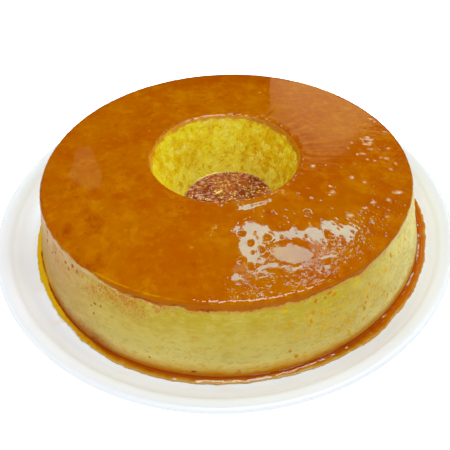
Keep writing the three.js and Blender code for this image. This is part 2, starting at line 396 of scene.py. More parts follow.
def caramel_material():
    m = Nodes("caramel")
    dark = m.attr("dark")  # thicker caramel in patches and runs, and a painted shade band along the back rim
    pit = m.attr("pit")
    foam = m.attr("foam")  # pale rings and spots of dried foam, partly painted glints on the bubbles
    side = m.attr("side")  # 1 down the outer or the hole's side
    inner = m.attr("inner")  # 1 at the hole
    blotch = m.attr("blotch")  # burnt patches at the lower edge of the layer
    fringe = m.attr("fringe")  # 1 where the layer has given way to custard, at its uneven lower edge
    gold = m.attr("gold")  # thin golden caramel along the rim
    lively = m.attr("lively")  # 1 where fine bubbles have dried into the glaze
    big = m.noise(26, 4, 0.6, warp=0.6)
    mid = m.noise(95, 5, 0.68, warp=0.25)
    small = m.noise(260, 4, 0.66)
    fine = m.noise(620, 3, 0.6)
    c = m.mix(m.map(big, 0.36, 0.64), CARAMEL_DARK, CARAMEL)
    c = m.mix(m.math("MULTIPLY", m.map(mid, 0.50, 0.66), 0.65), c, CARAMEL_LIGHT)
    c = m.mix(m.math("MULTIPLY", m.map(mid, 0.47, 0.32), 0.75), c, CARAMEL_DARK)
    c = m.mix(m.math("MULTIPLY", m.map(small, 0.52, 0.68), 0.4), c, CARAMEL_LIGHT)
    c = m.mix(m.math("MULTIPLY", m.map(small, 0.44, 0.30), 0.55), c, CARAMEL_DEEP)
    c = m.mix(m.math("MULTIPLY", dark, 0.85), c, CARAMEL_DEEP)
    # small dark specks
    speck = m.math("MULTIPLY", m.map(m.voronoi(120), 0.09, 0.05), m.map(m.noise(40, 1), 0.64, 0.67))
    c = m.mix(m.math("MULTIPLY", speck, 0.5), c, CARAMEL_SPECK)
    c = m.mix(m.math("MULTIPLY", pit, 0.4), c, CARAMEL_DEEP)
    c = m.mix(m.math("MULTIPLY", foam, m.map(fine, 0.36, 0.56, 0.3, 0.8)), c, FOAM_AND_GLINT_PALE)
    c = m.mix(m.math("MULTIPLY", gold, 0.85), c, GOLD_EDGE)
    # the side: the layer thins towards its lower edge
    c = m.mix(m.math("MULTIPLY", side, 0.8), c, m.mix(inner, BAND, HOLE_STAIN))
    c = m.mix(m.math("MULTIPLY", blotch, m.map(small, 0.38, 0.55, 0.3, 0.9)), c, BAND_DARK)
    c = m.mix(fringe, c, m.mix(inner, bare_custard(m), bare_hole(m)))
    rough = m.map(m.noise(240, 2, 0.5), 0.3, 0.7, 0.014, 0.03)
    rough = m.math("ADD", rough, m.math("MULTIPLY", side, 0.12))
    m.set(Base_Color=c, Roughness=m.math("ADD", rough, m.math("MULTIPLY", fringe, 0.22)), IOR=1.45)
    dent = m.map(m.math("ADD", m.voronoi(520), m.math("MULTIPLY", fine, 0.12)), 0.12, 0.32)
    dent = m.math("MULTIPLY", dent, m.math("MULTIPLY", lively, m.map(m.noise(150, 3, 0.6), 0.47, 0.57)))
    skin = m.math("ADD", m.noise(1500, 2, 0.6), m.math("MULTIPLY", m.noise(260, 4, 0.62, vec=m.mapped((1, 1, 2.2))), 2.0))
    h = m.math("ADD", m.math("MULTIPLY", m.noise(380, 2, 0.5), 0.04), m.math("MULTIPLY", fringe, skin))
    h = m.math("ADD", h, m.math("MULTIPLY", dent, 0.55))
    m.set(Normal=m.bump(h, 0.00014, 0.6))
    return m.mat


def custard_wall_material():
    m = Nodes("custard_wall")
    pore = m.attr("pore")
    orange = m.attr("orange")
    soak = m.attr("soak")  # syrup drawn up at the foot
    band = m.attr("band")  # where the caramel layer hangs further down
    flecks = m.attr("flecks")  # where the yolk-yellow flecks lie
    prick = m.attr("prick")  # where fine brown pores lie
    blotch = m.attr("blotch")
    mid = m.noise(110, 4, 0.65)
    flat = m.noise(260, 4, 0.62, vec=m.mapped((1, 1, 2.2)), warp=0.3)
    fine = m.noise(700, 3, 0.65)
    base = bare_custard(m)
    spots = m.map(m.noise(420, 3, 0.7, vec=m.mapped((1, 1, 0.75))), 0.55, 0.60)
    base = m.mix(m.math("MULTIPLY", m.map(flecks, 0.1, 0.6), spots), base, YOLK)
    tiny = m.map(m.noise(820, 3, 0.7, vec=m.mapped((1, 1, 0.7), (0.3, 0.1, 0))), 0.60, 0.66)
    sparse = m.map(m.noise(75, 3, 0.6), 0.50, 0.60)
    base = m.mix(m.math("MULTIPLY", m.math("MULTIPLY", tiny, sparse), 0.5), base, ORANGE_FLECK)
    patchy = m.map(m.noise(90, 3, 0.6), 0.40, 0.56)
    base = m.mix(m.math("MULTIPLY", m.math("MULTIPLY", prick, patchy), 0.45), base, lin(166, 118, 56))
    holes = m.map(m.noise(1300, 2, 0.6, vec=m.mapped((1, 1, 0.7), (0.1, 0.5, 0.2))), 0.54, 0.62)
    holes = m.math("MULTIPLY", holes, m.math("MULTIPLY", prick, m.map(patchy, 0.0, 0.8, 0.25, 1.0)))
    base = m.mix(m.math("MULTIPLY", holes, 0.85), base, lin(142, 78, 10))
    base = m.mix(m.math("MULTIPLY", m.attr("foot"), m.map(mid, 0.35, 0.6, 1.0, 0.75)), base, FOOT_GOLD)
    base = m.mix(m.math("MULTIPLY", soak, 0.9), base, SOAK)
    base = m.mix(m.math("MULTIPLY", m.attr("burnt"), m.map(fine, 0.35, 0.6, 0.75, 0.45)), base, BURNT)
    base = m.mix(m.math("MULTIPLY", orange, 0.9), base, m.mix(m.map(mid, 0.34, 0.48), ORANGE_FLECK, YOLK))
    base = m.mix(m.math("MULTIPLY", m.attr("rust"), m.map(mid, 0.35, 0.55, 0.95, 0.6)), base, lin(166, 98, 4))
    base = m.mix(pore, base, PORE)
    cap = m.mix(m.math("MULTIPLY", blotch, m.map(mid, 0.38, 0.55, 0.3, 0.9)), BAND, BAND_DARK)
    base = m.mix(band, base, cap)
    m.set(Base_Color=base, IOR=1.15, Specular_IOR_Level=0.1)
    rough = m.map(m.noise(160, 3, 0.6), 0.3, 0.7, 0.36, 0.52)
    m.set(Roughness=m.math("ADD", rough, m.math("MULTIPLY", m.attr("foot"), 0.35)))
    hgt = m.math("ADD", m.math("ADD", m.math("MULTIPLY", fine, 0.5), m.noise(1500, 2, 0.6)), m.math("MULTIPLY", flat, 1.1))
    m.set(Normal=m.bump(hgt, 0.0002, 0.7))
    return m.mat


def custard_hole_material():
    m = Nodes("custard_hole")
    pore = m.attr("pore")
    mid = m.noise(190, 4, 0.65, warp=0.5)
    fine = m.noise(560, 3, 0.62)
    base = m.mix(m.math("MULTIPLY", pore, m.map(fine, 0.4, 0.55, 0.3, 0.8)), bare_hole(m), HOLE_PORE)
    m.set(Base_Color=base, IOR=1.3)
    m.set(Roughness=m.map(mid, 0.3, 0.7, 0.2, 0.36))
    m.set(Normal=m.bump(m.math("ADD", mid, m.math("MULTIPLY", fine, 0.6)), 0.0006, 0.7))
    return m.mat


def syrup_material():
    m = Nodes("syrup_pool")
    s = m.attr("across")  # 0 at the custard, 1 at the outer edge
    thin = m.attr("thin")  # 1 where it is thin enough to glow yellow
    warm = m.attr("warm")  # 1 where it is deep orange
    big = m.noise(40, 4, 0.6, warp=0.4)
    mid = m.noise(170, 4, 0.65)
    fine = m.noise(480, 3, 0.6)
    t = m.math("ADD", s, m.math("MULTIPLY", m.math("SUBTRACT", big, 0.5), 0.45))
    t = m.math("ADD", t, m.math("MULTIPLY", m.math("SUBTRACT", mid, 0.5), 0.5))
    c = m.ramp(t, [(0.10, SYRUP_DEEP), (0.42, SYRUP_BROWN), (0.68, SYRUP_AMBER), (0.98, SYRUP_EDGE)])
    c = m.mix(m.math("MULTIPLY", warm, m.math("MULTIPLY", m.map(t, 0.2, 0.5, 0.4, 0.9), m.map(t, 0.98, 0.62))), c, SYRUP_WARM)
    c = m.mix(m.math("MULTIPLY", thin, m.map(m.math("ADD", t, m.math("MULTIPLY", thin, 0.25)), 0.30, 0.60)), c, SYRUP_YELLOW)
    c = m.mix(m.math("MULTIPLY", m.map(fine, 0.40, 0.30), 0.4), c, SYRUP_DEEP)
    c = m.mix(m.math("MULTIPLY", m.map(m.math("ADD", s, m.math("MULTIPLY", mid, 0.35)), 1.00, 1.20), 0.8), c, SYRUP_EDGE)
    m.set(Base_Color=c, Roughness=m.map(fine, 0.3, 0.7, 0.03, 0.06), IOR=1.46)
    m.set(Normal=m.bump(m.noise(180, 2, 0.5), 0.0001, 0.3))
    return m.mat


def well_material():
    m = Nodes("syrup_well")
    foam = m.attr("foam")
    painted_sheen = m.attr("painted_sheen")
    streak = m.noise(400, 5, 0.75, vec=m.mapped((0.8, 1.15, 1)), warp=0.4)
    fine = m.noise(560, 4, 0.72)
    c = m.mix(m.map(m.noise(70, 3, 0.6), 0.4, 0.6), WELL_DARK, WELL_BROWN)
    # pale streaks of foam all over, with a painted sheen added at the left and back
    white = m.math("MULTIPLY", m.map(streak, 0.50, 0.58), m.math("ADD", 0.30, m.math("MULTIPLY", painted_sheen, 0.5)))
    c = m.mix(white, c, WELL_FOAM_AND_SHEEN)
    # painted highlight: a pale meniscus line round the edge, brightest at the back left
    c = m.mix(m.math("MULTIPLY", m.attr("edge"), m.map(fine, 0.35, 0.55, 0.6, 1.0)), c, lin(232, 208, 140))
    c = m.mix(m.math("MULTIPLY", m.math("MULTIPLY", foam, m.map(fine, 0.54, 0.61)), 0.85), c, WELL_FLECK)
    m.set(Base_Color=c, Roughness=m.map(streak, 0.4, 0.7, 0.08, 0.35), IOR=1.33)
    m.set(Normal=m.bump(m.math("ADD", streak, m.math("MULTIPLY", fine, 0.4)), 0.0006, 0.6))
    return m.mat


def crumb_material(name, a, b):
    m = Nodes(name)
    fine = m.noise(900, 3, 0.6)
    m.set(Base_Color=m.mix(m.map(fine, 0.35, 0.65), a, b), Roughness=m.map(fine, 0.3, 0.7, 0.3, 0.45), IOR=1.42)
    m.set(Normal=m.bump(fine, 0.0001, 0.5))
    return m.mat


# colours, as sRGB under this scene's light
CARAMEL = lin(154, 84, 0)
CARAMEL_LIGHT = lin(165, 100, 2)
CARAMEL_DARK = lin(150, 71, 0)
CARAMEL_DEEP = lin(138, 58, 0)
CARAMEL_SPECK = lin(112, 40, 2)
# pale of the foam spots, partly painted glints
FOAM_AND_GLINT_PALE = lin(204, 174, 134)
CUSTARD = lin(166, 144, 54)
CUSTARD_PALE = lin(184, 165, 87)
# the low and high custard colours are painted bounce light at the foot and painted shade high up
CUSTARD_LOW_BOUNCE_LIT = lin(201, 181, 109)
CUSTARD_HIGH_SHADED = lin(159, 141, 31)
CUSTARD_OLIVE = lin(163, 130, 31)
CUSTARD_LEFT_STAIN_SHEEN = lin(167, 126, 85)
CUSTARD_RIGHT_LIT = lin(223, 215, 145)
YOLK = lin(194, 152, 0)
ORANGE_FLECK = lin(178, 112, 0)
STAIN = lin(174, 119, 54)
SOAK = lin(170, 96, 4)
BURNT = lin(134, 68, 24)
FOOT_GOLD = lin(182, 136, 38)
PORE = lin(128, 65, 5)
HOLE_YELLOW = lin(214, 196, 22)
HOLE_GOLD = lin(207, 173, 6)
HOLE_PALE = lin(218, 208, 88)
HOLE_OLIVE = lin(193, 148, 3)
BAND = lin(151, 82, 2)
BAND_DARK = lin(132, 50, 2)
GOLD_EDGE = lin(198, 138, 8)
HOLE_PORE = lin(184, 106, 2)
HOLE_STAIN = lin(193, 115, 2)
SYRUP_DEEP = lin(140, 52, 0)
SYRUP_BROWN = lin(144, 64, 0)
SYRUP_AMBER = lin(169, 106, 4)
SYRUP_EDGE = lin(184, 138, 56)
SYRUP_WARM = lin(174, 85, 0)
SYRUP_YELLOW = lin(200, 156, 14)
WELL_DARK = lin(116, 36, 0)
WELL_BROWN = lin(150, 66, 4)
WELL_FOAM_AND_SHEEN = lin(208, 160, 128)
WELL_FLECK = lin(222, 190, 84)

# ------------------------------------------------------------------ plate
def build_plate():
    curve = np.linspace(110, RIM_R - 0.9, 60)
    upper = np.concatenate([[[2, FLOOR_Z], [60, FLOOR_Z], [100, FLOOR_Z]], np.stack([curve, plate_top(curve)], -1)])
    lip = arc(RIM_R, float(plate_top(RIM_R)) - LIP_R, LIP_R - 0.02, 100, -90, 14)
    under = []
    for r in np.linspace(131.5, 115, 26):
        d = 0.01
        slope = math.atan2(float(plate_top(r + d) - plate_top(r - d)), 2 * d)
        under.append((r + PLATE_T * math.sin(slope), float(plate_top(r)) - PLATE_T * math.cos(slope)))
    under = [u for u in under if u[0] < 132.6]
    foot = [(FOOT_R_OUT + 3, FOOT_H), (FOOT_R_OUT + 1.4, FOOT_H - 0.3), (FOOT_R_OUT + 0.4, 1.2),
            (FOOT_R_OUT, 0.25), (FOOT_R_OUT - 0.5, 0), (FOOT_R_IN + 0.5, 0), (FOOT_R_IN, 0.25),
            (FOOT_R_IN - 0.4, 1.2), (FOOT_R_IN - 1.4, FOOT_H - 0.3), (FOOT_R_IN - 3, FOOT_H), (40, FOOT_H), (2, FOOT_H)]
    pr = np.concatenate([upper, lip, np.array(under), np.array(foot)])
    n = 288
    a = np.arange(n) / n * TAU
    r, z = pr[:, 0][:, None], pr[:, 1][:, None]
    x, y = r * np.cos(a), r * np.sin(a)
    z = np.broadcast_to(z, x.shape)
    p = xyz(x, y, z)
    ang = np.degrees(np.broadcast_to(a, x.shape))
    ang = np.where(ang > 180, ang - 360, ang)
    upward = (np.arange(len(pr)) < 63)[:, None]
    edge = POOL_R + wave(POOL_WAVES, np.broadcast_to(a, x.shape))
    near = smooth(r - edge, 7.0, 0.5) * upward
    patches = smooth(fbm(p, 9, 3, seed=5), 0.12, 0.45)
    right, left = smooth(ang, -60, -40) * smooth(ang, 0, -20), smooth(ang, -150, -135) * smooth(ang, -95, -115)
    # stain: painted warm bounce light from the custard, in patches near the pool's edge
    stain = near * patches * (0.4 + 0.6 * (right + left))
    rr = np.hypot(x, y)
    # rim: painted shade by radius, greyest at the outer rim, greyer at the sides than at the front
    flank = 1 - smooth(ang, -160, -140) * smooth(ang, -50, -76)
    steps = [121, 123, 125, 127, 129, 131, 133]
    rim = (1 - flank) * np.interp(rr, steps, [0.33, 0.32, 0.10, 0.0, 0.24, 0.66, 1.0])
    rim = rim + flank * np.interp(rr, steps, [0.68, 0.68, 0.69, 0.44, 0.66, 0.94, 1.0])
    me = grid_mesh("plate_ware", p, {"stain": stain, "rim": rim}, flip=True, first=True, last=True)
    place("plate_ware", me, plate_material(), "plate")


# ------------------------------------------------------------------ flan, shared by the custard and the caramel
def flan_nudge(r, a, z):
    across = (r - HOLE_R_TOP) / (SHOULDER_R - HOLE_R_TOP)
    outer = smooth(across, 0.55, 1)
    inner = 1 - smooth(across, 0, 0.3)
    rr = r + outer * wall_wobble(a, z) + inner * wave(HOLE_WAVES, a)
    lean = inner * (1 - height(z))
    return rr * np.cos(a) + lean * HOLE_LEAN[0] + FLAN_X, rr * np.sin(a) + lean * HOLE_LEAN[1]


def columns(dense, coarse, lo, hi):
    """Angles in radians all the way round, dense degrees apart from lo to hi and coarse elsewhere."""
    n1 = int(round((hi - lo) / dense))
    n2 = int(round((360 - (hi - lo)) / coarse))
    a = np.concatenate([lo + np.arange(n1) * (hi - lo) / n1, hi + np.arange(n2) * (360 - hi + lo) / n2])
    return np.radians(a)


# bubbles and burst-bubble craters in the glaze: x, y from the flan's middle, radius, depth, all in mm
CRATERS = [
    (84.9, 5.1, 2.6, 0.30), (76.6, -6.0, 1.1, 0.16), (81.1, -7.0, 1.1, 0.14), (85.2, -3.1, 1.3, 0.16),
    (95.0, -2.3, 1.2, 0.14), (90.6, -13.1, 1.1, 0.14), (84.7, -12.7, 0.9, 0.10), (94.5, 30.5, 1.5, 0.16),
    (98.6, 14.1, 1.3, 0.14), (67.5, -27.7, 1.4, 0.20), (72.7, -32.2, 1.2, 0.20), (54.3, -34.5, 1.1, 0.14),
    (54.6, -39.1, 1.5, 0.20), (48.9, -17.0, 1.5, 0.22), (56.2, -15.5, 0.9, 0.12), (37.0, -39.1, 1.2, 0.16),
    (43.2, -43.3, 1.4, 0.18), (47.5, -45.2, 0.8, 0.10), (72.7, -47.7, 1.4, 0.20), (67.7, -51.6, 1.2, 0.16),
    (39.7, -53.0, 2.3, 0.28), (59.1, -56.2, 1.9, 0.30), (66.8, -61.4, 2.6, 0.30), (27.9, -56.5, 1.3, 0.20),
    (22.5, -52.1, 1.2, 0.18), (29.0, -50.9, 0.8, 0.10), (87.3, -41.6, 1.7, 0.20), (6.5, -65.2, 2.1, 0.26),
    (10.0, -71.4, 2.0, 0.26), (17.8, -68.5, 2.3, 0.30), (14.9, -75.6, 1.8, 0.26), (24.5, -68.5, 1.0, 0.16),
    (35.9, -68.5, 1.0, 0.16), (46.5, -68.5, 2.7, 0.26), (18.7, -80.4, 1.2, 0.18), (9.0, -85.2, 2.0, 0.26),
    (5.5, -81.1, 1.9, 0.22), (21.8, -84.9, 0.9, 0.14), (10.4, -77.2, 1.1, 0.16), (51.8, -74.0, 1.2, 0.16),
    (48.3, -77.8, 0.9, 0.12), (40.2, -78.5, 0.8, 0.10), (92.3, -22.4, 1.2, 0.14), (93.3, -30.2, 1.0, 0.12),
    (96.0, -14.4, 1.1, 0.12), (91.5, -39.8, 1.0, 0.12), (85.2, -50.7, 1.0, 0.12), (79.7, -55.3, 1.0, 0.12),
    (71.4, -70.6, 0.9, 0.12), (66.8, -75.2, 0.9, 0.12), (-36.4, -73.3, 0.6, 0.08), (-57.7, -79.6, 0.7, 0.12),
]

# pale spots on the glaze, dried foam of small bubbles with painted glints on them: x, y, half sizes along x and y
FOAM_AND_GLINT_SPOTS = [
    (84.8, -2.8, 1.6, 0.7), (79.4, -6.9, 1.9, 0.7), (75.9, -7.3, 0.8, 1.1), (80.2, -12.4, 0.8, 0.8), (84.0, -13.8, 1.0, 0.8),
    (90.7, -12.5, 1.5, 0.8), (88.1, -11.4, 0.6, 0.6), (95.4, -2.7, 1.3, 0.8), (98.4, 14.6, 1.5, 0.9), (94.3, 29.6, 1.2, 1.6),
    (95.9, 26.6, 0.7, 1.0), (89.5, -3.6, 0.6, 0.6), (94.5, -17.4, 0.9, 1.1), (90.2, -22.3, 1.0, 1.0), (87.2, -41.4, 2.3, 1.3),
    (81.1, -46.5, 0.9, 1.0), (72.9, -47.7, 1.4, 1.1), (67.8, -51.5, 1.3, 0.8), (59.0, -56.2, 1.4, 1.6), (67.4, -27.7, 1.3, 1.1),
    (72.7, -32.0, 1.0, 1.1), (54.6, -34.1, 1.0, 0.8), (54.7, -39.1, 1.3, 1.0), (52.7, -40.9, 0.6, 0.6), (47.5, -44.7, 0.6, 0.6),
    (48.9, -16.4, 1.3, 0.8), (56.0, -15.9, 0.5, 0.6), (75.7, 4.3, 0.7, 0.7), (72.3, -1.1, 0.5, 0.7), (76.6, -58.0, 1.0, 0.6),
    (78.7, -53.7, 0.6, 0.5), (43.1, -42.7, 1.1, 0.6), (82.2, 7.7, 0.6, 0.9), (86.5, 9.4, 1.3, 0.9), (88.6, 6.7, 1.1, 0.9),
    (83.0, 2.2, 1.7, 1.0), (86.2, 3.6, 1.4, 1.0),
]


def layer_edge(ang, p0):
    """How far below the top the caramel layer reaches down the outer side, in mm, ang in degrees -180..180."""
    u = np.radians(ang)
    wander = fbm(xyz(np.cos(u) * 104.0, np.sin(u) * 104.0, 0 * u), 7, 3, seed=51)
    fray = fbm(p0, (3.0, 3.0, 2.4), 4, seed=52, gain=0.65)
    front = smooth(ang, -129, -111) * smooth(ang, -38, -62)
    back = smooth(ang, 40, 90) * smooth(ang, 178, 145)
    mean = 1.2 + 2.3 * front + 1.2 * back
    return mean + (0.35 + 0.85 * front) * wander + (0.7 + 0.7 * front) * fray


def wall_side(ang):
    """-1 at the left of the front, +1 at its right."""
    return np.interp(ang, [-180, -160, -90, -15, 30, 90, 140, 180], [-0.4, -0.95, 0.0, 1.0, 0.6, 0.1, -0.1, -0.4])


def layer_burnt(ang, p0, line):
    """Burnt patches along the lower edge of the caramel layer."""
    down = TOP_Z - p0[..., 2]
    front = 0.25 + 0.75 * smooth(ang, -60, -74) * smooth(ang, -179, -160)
    return front * smooth(down, line - 1.7, line - 0.6) * smooth(fbm(p0, (5, 5, 3), 3, seed=54), -0.05, 0.3)


def layer_stain(ang, p0, line, down):
    """Caramel drawn into the custard just under the layer."""
    left = smooth(ang, -100, -130) * smooth(ang, -179, -160)
    fray = fbm(p0, (2.4, 2.4, 1.5), 3, seed=22)
    return smooth(down - line + 1.1 * fray, 2.3, 0.0) * (1 - 0.7 * left)


def layer_cream(ang, p0, line, down):
    """Pale lip of custard under the layer at the left of the front."""
    where = smooth(ang, -131, -124) * smooth(ang, -96, -112) * (ang < 0)
    fray = fbm(p0, (2.0, 2.0, 1.5), 3, seed=56)
    return where * smooth(down - line, -0.1, 0.25) * smooth(down - line + 0.7 * fray, 1.5, 0.8)


def wall_skin(ang, p0):
    """How far the outer side swells beyond its plain form, in mm, the same for the custard and the layer on it."""
    down = TOP_Z - p0[..., 2]
    left = smooth(ang, -98, -118) * smooth(ang, -179, -160)
    line = layer_edge(ang, p0 * (1, 1, 0))
    lip = np.exp(-(((down - np.maximum(line, 1.4) - 0.8) / 0.8) ** 2))
    wrinkle = fbm(p0, (2.6, 2.6, 1.2), 2, seed=18)
    skin = 0.20 * fbm(p0, 13, 3, seed=15) + 0.11 * fbm(p0, (7.0, 7.0, 1.5), 3, seed=14)
    skin = skin + 0.09 * fbm(p0, (2.0, 2.0, 1.2), 2, seed=16)
    return skin + lip * left * (0.18 + 0.25 * wrinkle)


def hole_skin(p0):
    """The same for the hole's side."""
    return 0.32 * fbm(p0, (6.5, 6.5, 8.5), 3, seed=33) + 0.22 * fbm(p0, 2.2, 3, seed=34)


def small_pits():
    """Fine pits, thickest along the right rim, a few everywhere: x, y, radius, depth."""
    rng = np.random.default_rng(23)
    pits = []
    for _ in range(230):  # right rim
        r, t = rng.uniform(82, 101.0), math.radians(rng.normal(-20, 24))
        pits.append((r * math.cos(t), r * math.sin(t), rng.uniform(0.5, 1.0), rng.uniform(0.05, 0.12)))
    for _ in range(70):  # front rim
        r, t = rng.uniform(90, 101), math.radians(rng.uniform(-95, -35))
        pits.append((r * math.cos(t), r * math.sin(t), rng.uniform(0.45, 0.9), rng.uniform(0.02, 0.06)))
    for _ in range(90):  # right half
        r, t = rng.uniform(50, 98), math.radians(rng.uniform(-85, 20))
        pits.append((r * math.cos(t), r * math.sin(t), rng.uniform(0.4, 0.9), rng.uniform(0.02, 0.06)))
    for _ in range(70):  # elsewhere
        r, t = rng.uniform(48, 101), rng.uniform(0, TAU)
        pits.append((r * math.cos(t), r * math.sin(t), rng.uniform(0.35, 0.6), rng.uniform(0.01, 0.03)))
    return pits


def hole_stain(p0):
    """Caramel drawn down the hole's side from the rim."""
    v = p0[..., 2] - SYRUP_Z
    east = smooth(p0[..., 0] - FLAN_X, 0, 30)
    ragged = 2.0 * fbm(p0, (5, 5, 2), 3, seed=35) + 1.3 * fbm(p0, (1.8, 1.8, 1.8), 2, seed=37)
    return 0.85 * smooth(v + ragged + 1.1 * east, 33.4, 35.6)


def glaze_relief(x, y):
    """Height of the glaze over the flat top, how far a point lies in a pit, and a pale mask on a pit's rim or a foam
    spot, partly painted glints; x, y from the flan's middle."""
    p = xyz(x, y, 0 * x)
    r, t = np.hypot(x, y), np.degrees(np.arctan2(y, x))
    lively = smooth(x, -16, 10)  # the right half is rougher
    front = lively * smooth(y, -28, -46) * smooth(r, 103, 94)
    calm = 1 - 0.8 * smooth(y, -72, -78) * smooth(x, 0, 12) * smooth(x, 64, 52) * smooth(r, 100, 96)
    h = 0.022 * fbm(p, 46, 2, seed=3)
    h = h + 0.010 * fbm(p, 15, 2, seed=8) * (0.35 + 0.65 * lively) * calm
    h = h + 0.007 * fbm(p, 6.5, 2, seed=9) * (0.3 + 0.7 * front) * calm
    h = h + 0.0045 * fbm(p, 2.7, 2, seed=10) * (0.2 + 0.8 * lively) * calm
    # runs of thick syrup drawn towards the hole
    fan = smooth(t, -42, -20) * smooth(t, 78, 45) * smooth(r, 43, 48) * smooth(r, 80, 62)
    h = h + 0.045 * fan * fbm(xyz(t / 3.2, r / 26.0, 0 * r), 1.0, 2, seed=12)
    # low waves round the back of the hole
    back = smooth(t, 45, 70) * smooth(t, 165, 130) * smooth(r, 44, 48) * smooth(r, 72, 60)
    h = h + 0.11 * back * fbm(xyz(t / 24, r / 5.0, 0 * r), 1.0, 2, seed=13)
    # the glaze thickens a little towards both edges, unevenly
    along = xyz(np.cos(np.radians(t)) * 100, np.sin(np.radians(t)) * 100, 0 * t)
    h = h + (0.03 + 0.03 * fbm(along, 7, 2, seed=25)) * np.exp(-(((r - 100.0) / 1.8) ** 2))
    h = h + 0.2 * fbm(p, 1.3, 2, seed=26) * smooth(r, 99.6, 101.4)
    streak = smooth(t, -88, -80) * smooth(t, -56, -64)
    rise = 0.05 + 0.11 * streak + 0.07 * fbm(along, 12, 2, seed=27)
    h = h + rise * np.exp(-(((r - 46.8) / 2.0) ** 2))
    h = h + 0.035 * fbm(p, 2.6, 2, seed=29) * smooth(r, 52, 48)
    h = h + 0.24 * fbm(p, 1.8, 2, seed=28) * smooth(r, 47.0, 44.6)
    pit, ring = np.zeros_like(h), np.zeros_like(h)
    wob = fbm(p, 1.6, 2, seed=30)
    for cx, cy, rad, depth in CRATERS + small_pits():
        near = (np.abs(x - cx) < 2.4 * rad) & (np.abs(y - cy) < 2.4 * rad)
        if not near.any():
            continue
        dx, dy = x[near] - cx, y[near] - cy
        lop = 1 + 0.16 * np.cos(2 * np.arctan2(dy, dx) + cx) + 0.10 * np.cos(3 * np.arctan2(dy, dx) + cy) + 0.25 * wob[near]
        q = np.hypot(dx, dy) / (rad * lop)
        bowl = np.where(q < 1, -((1 - q * q) ** 2), 0.0) * depth
        lift = np.exp(-(((q - 1.15) / 0.22) ** 2)) * (0.04 if cx < 70 else 0.2)
        h[near] += bowl + depth * lift
        pit[near] = np.maximum(pit[near], np.where(q < 1, 1 - q * q, 0))
        # painted glint: a pale ring round the largest crater on the right
        if depth > 0.29 and cx > 80:
            ring[near] = np.maximum(ring[near], np.exp(-(((q - 1.05) / 0.20) ** 2)))
    for cx, cy, sx, sy in FOAM_AND_GLINT_SPOTS:
        near = (np.abs(x - cx) < 1.8 * sx) & (np.abs(y - cy) < 1.8 * sy)
        q = np.hypot((x[near] - cx) / sx, (y[near] - cy) / sy) / (1 + 0.5 * wob[near])
        h[near] += 0.04 * np.clip(1 - q * q, 0, 1)
        ring[near] = np.maximum(ring[near], np.clip(1.25 - q, 0, 1) ** 0.8)
    return h, pit, ring


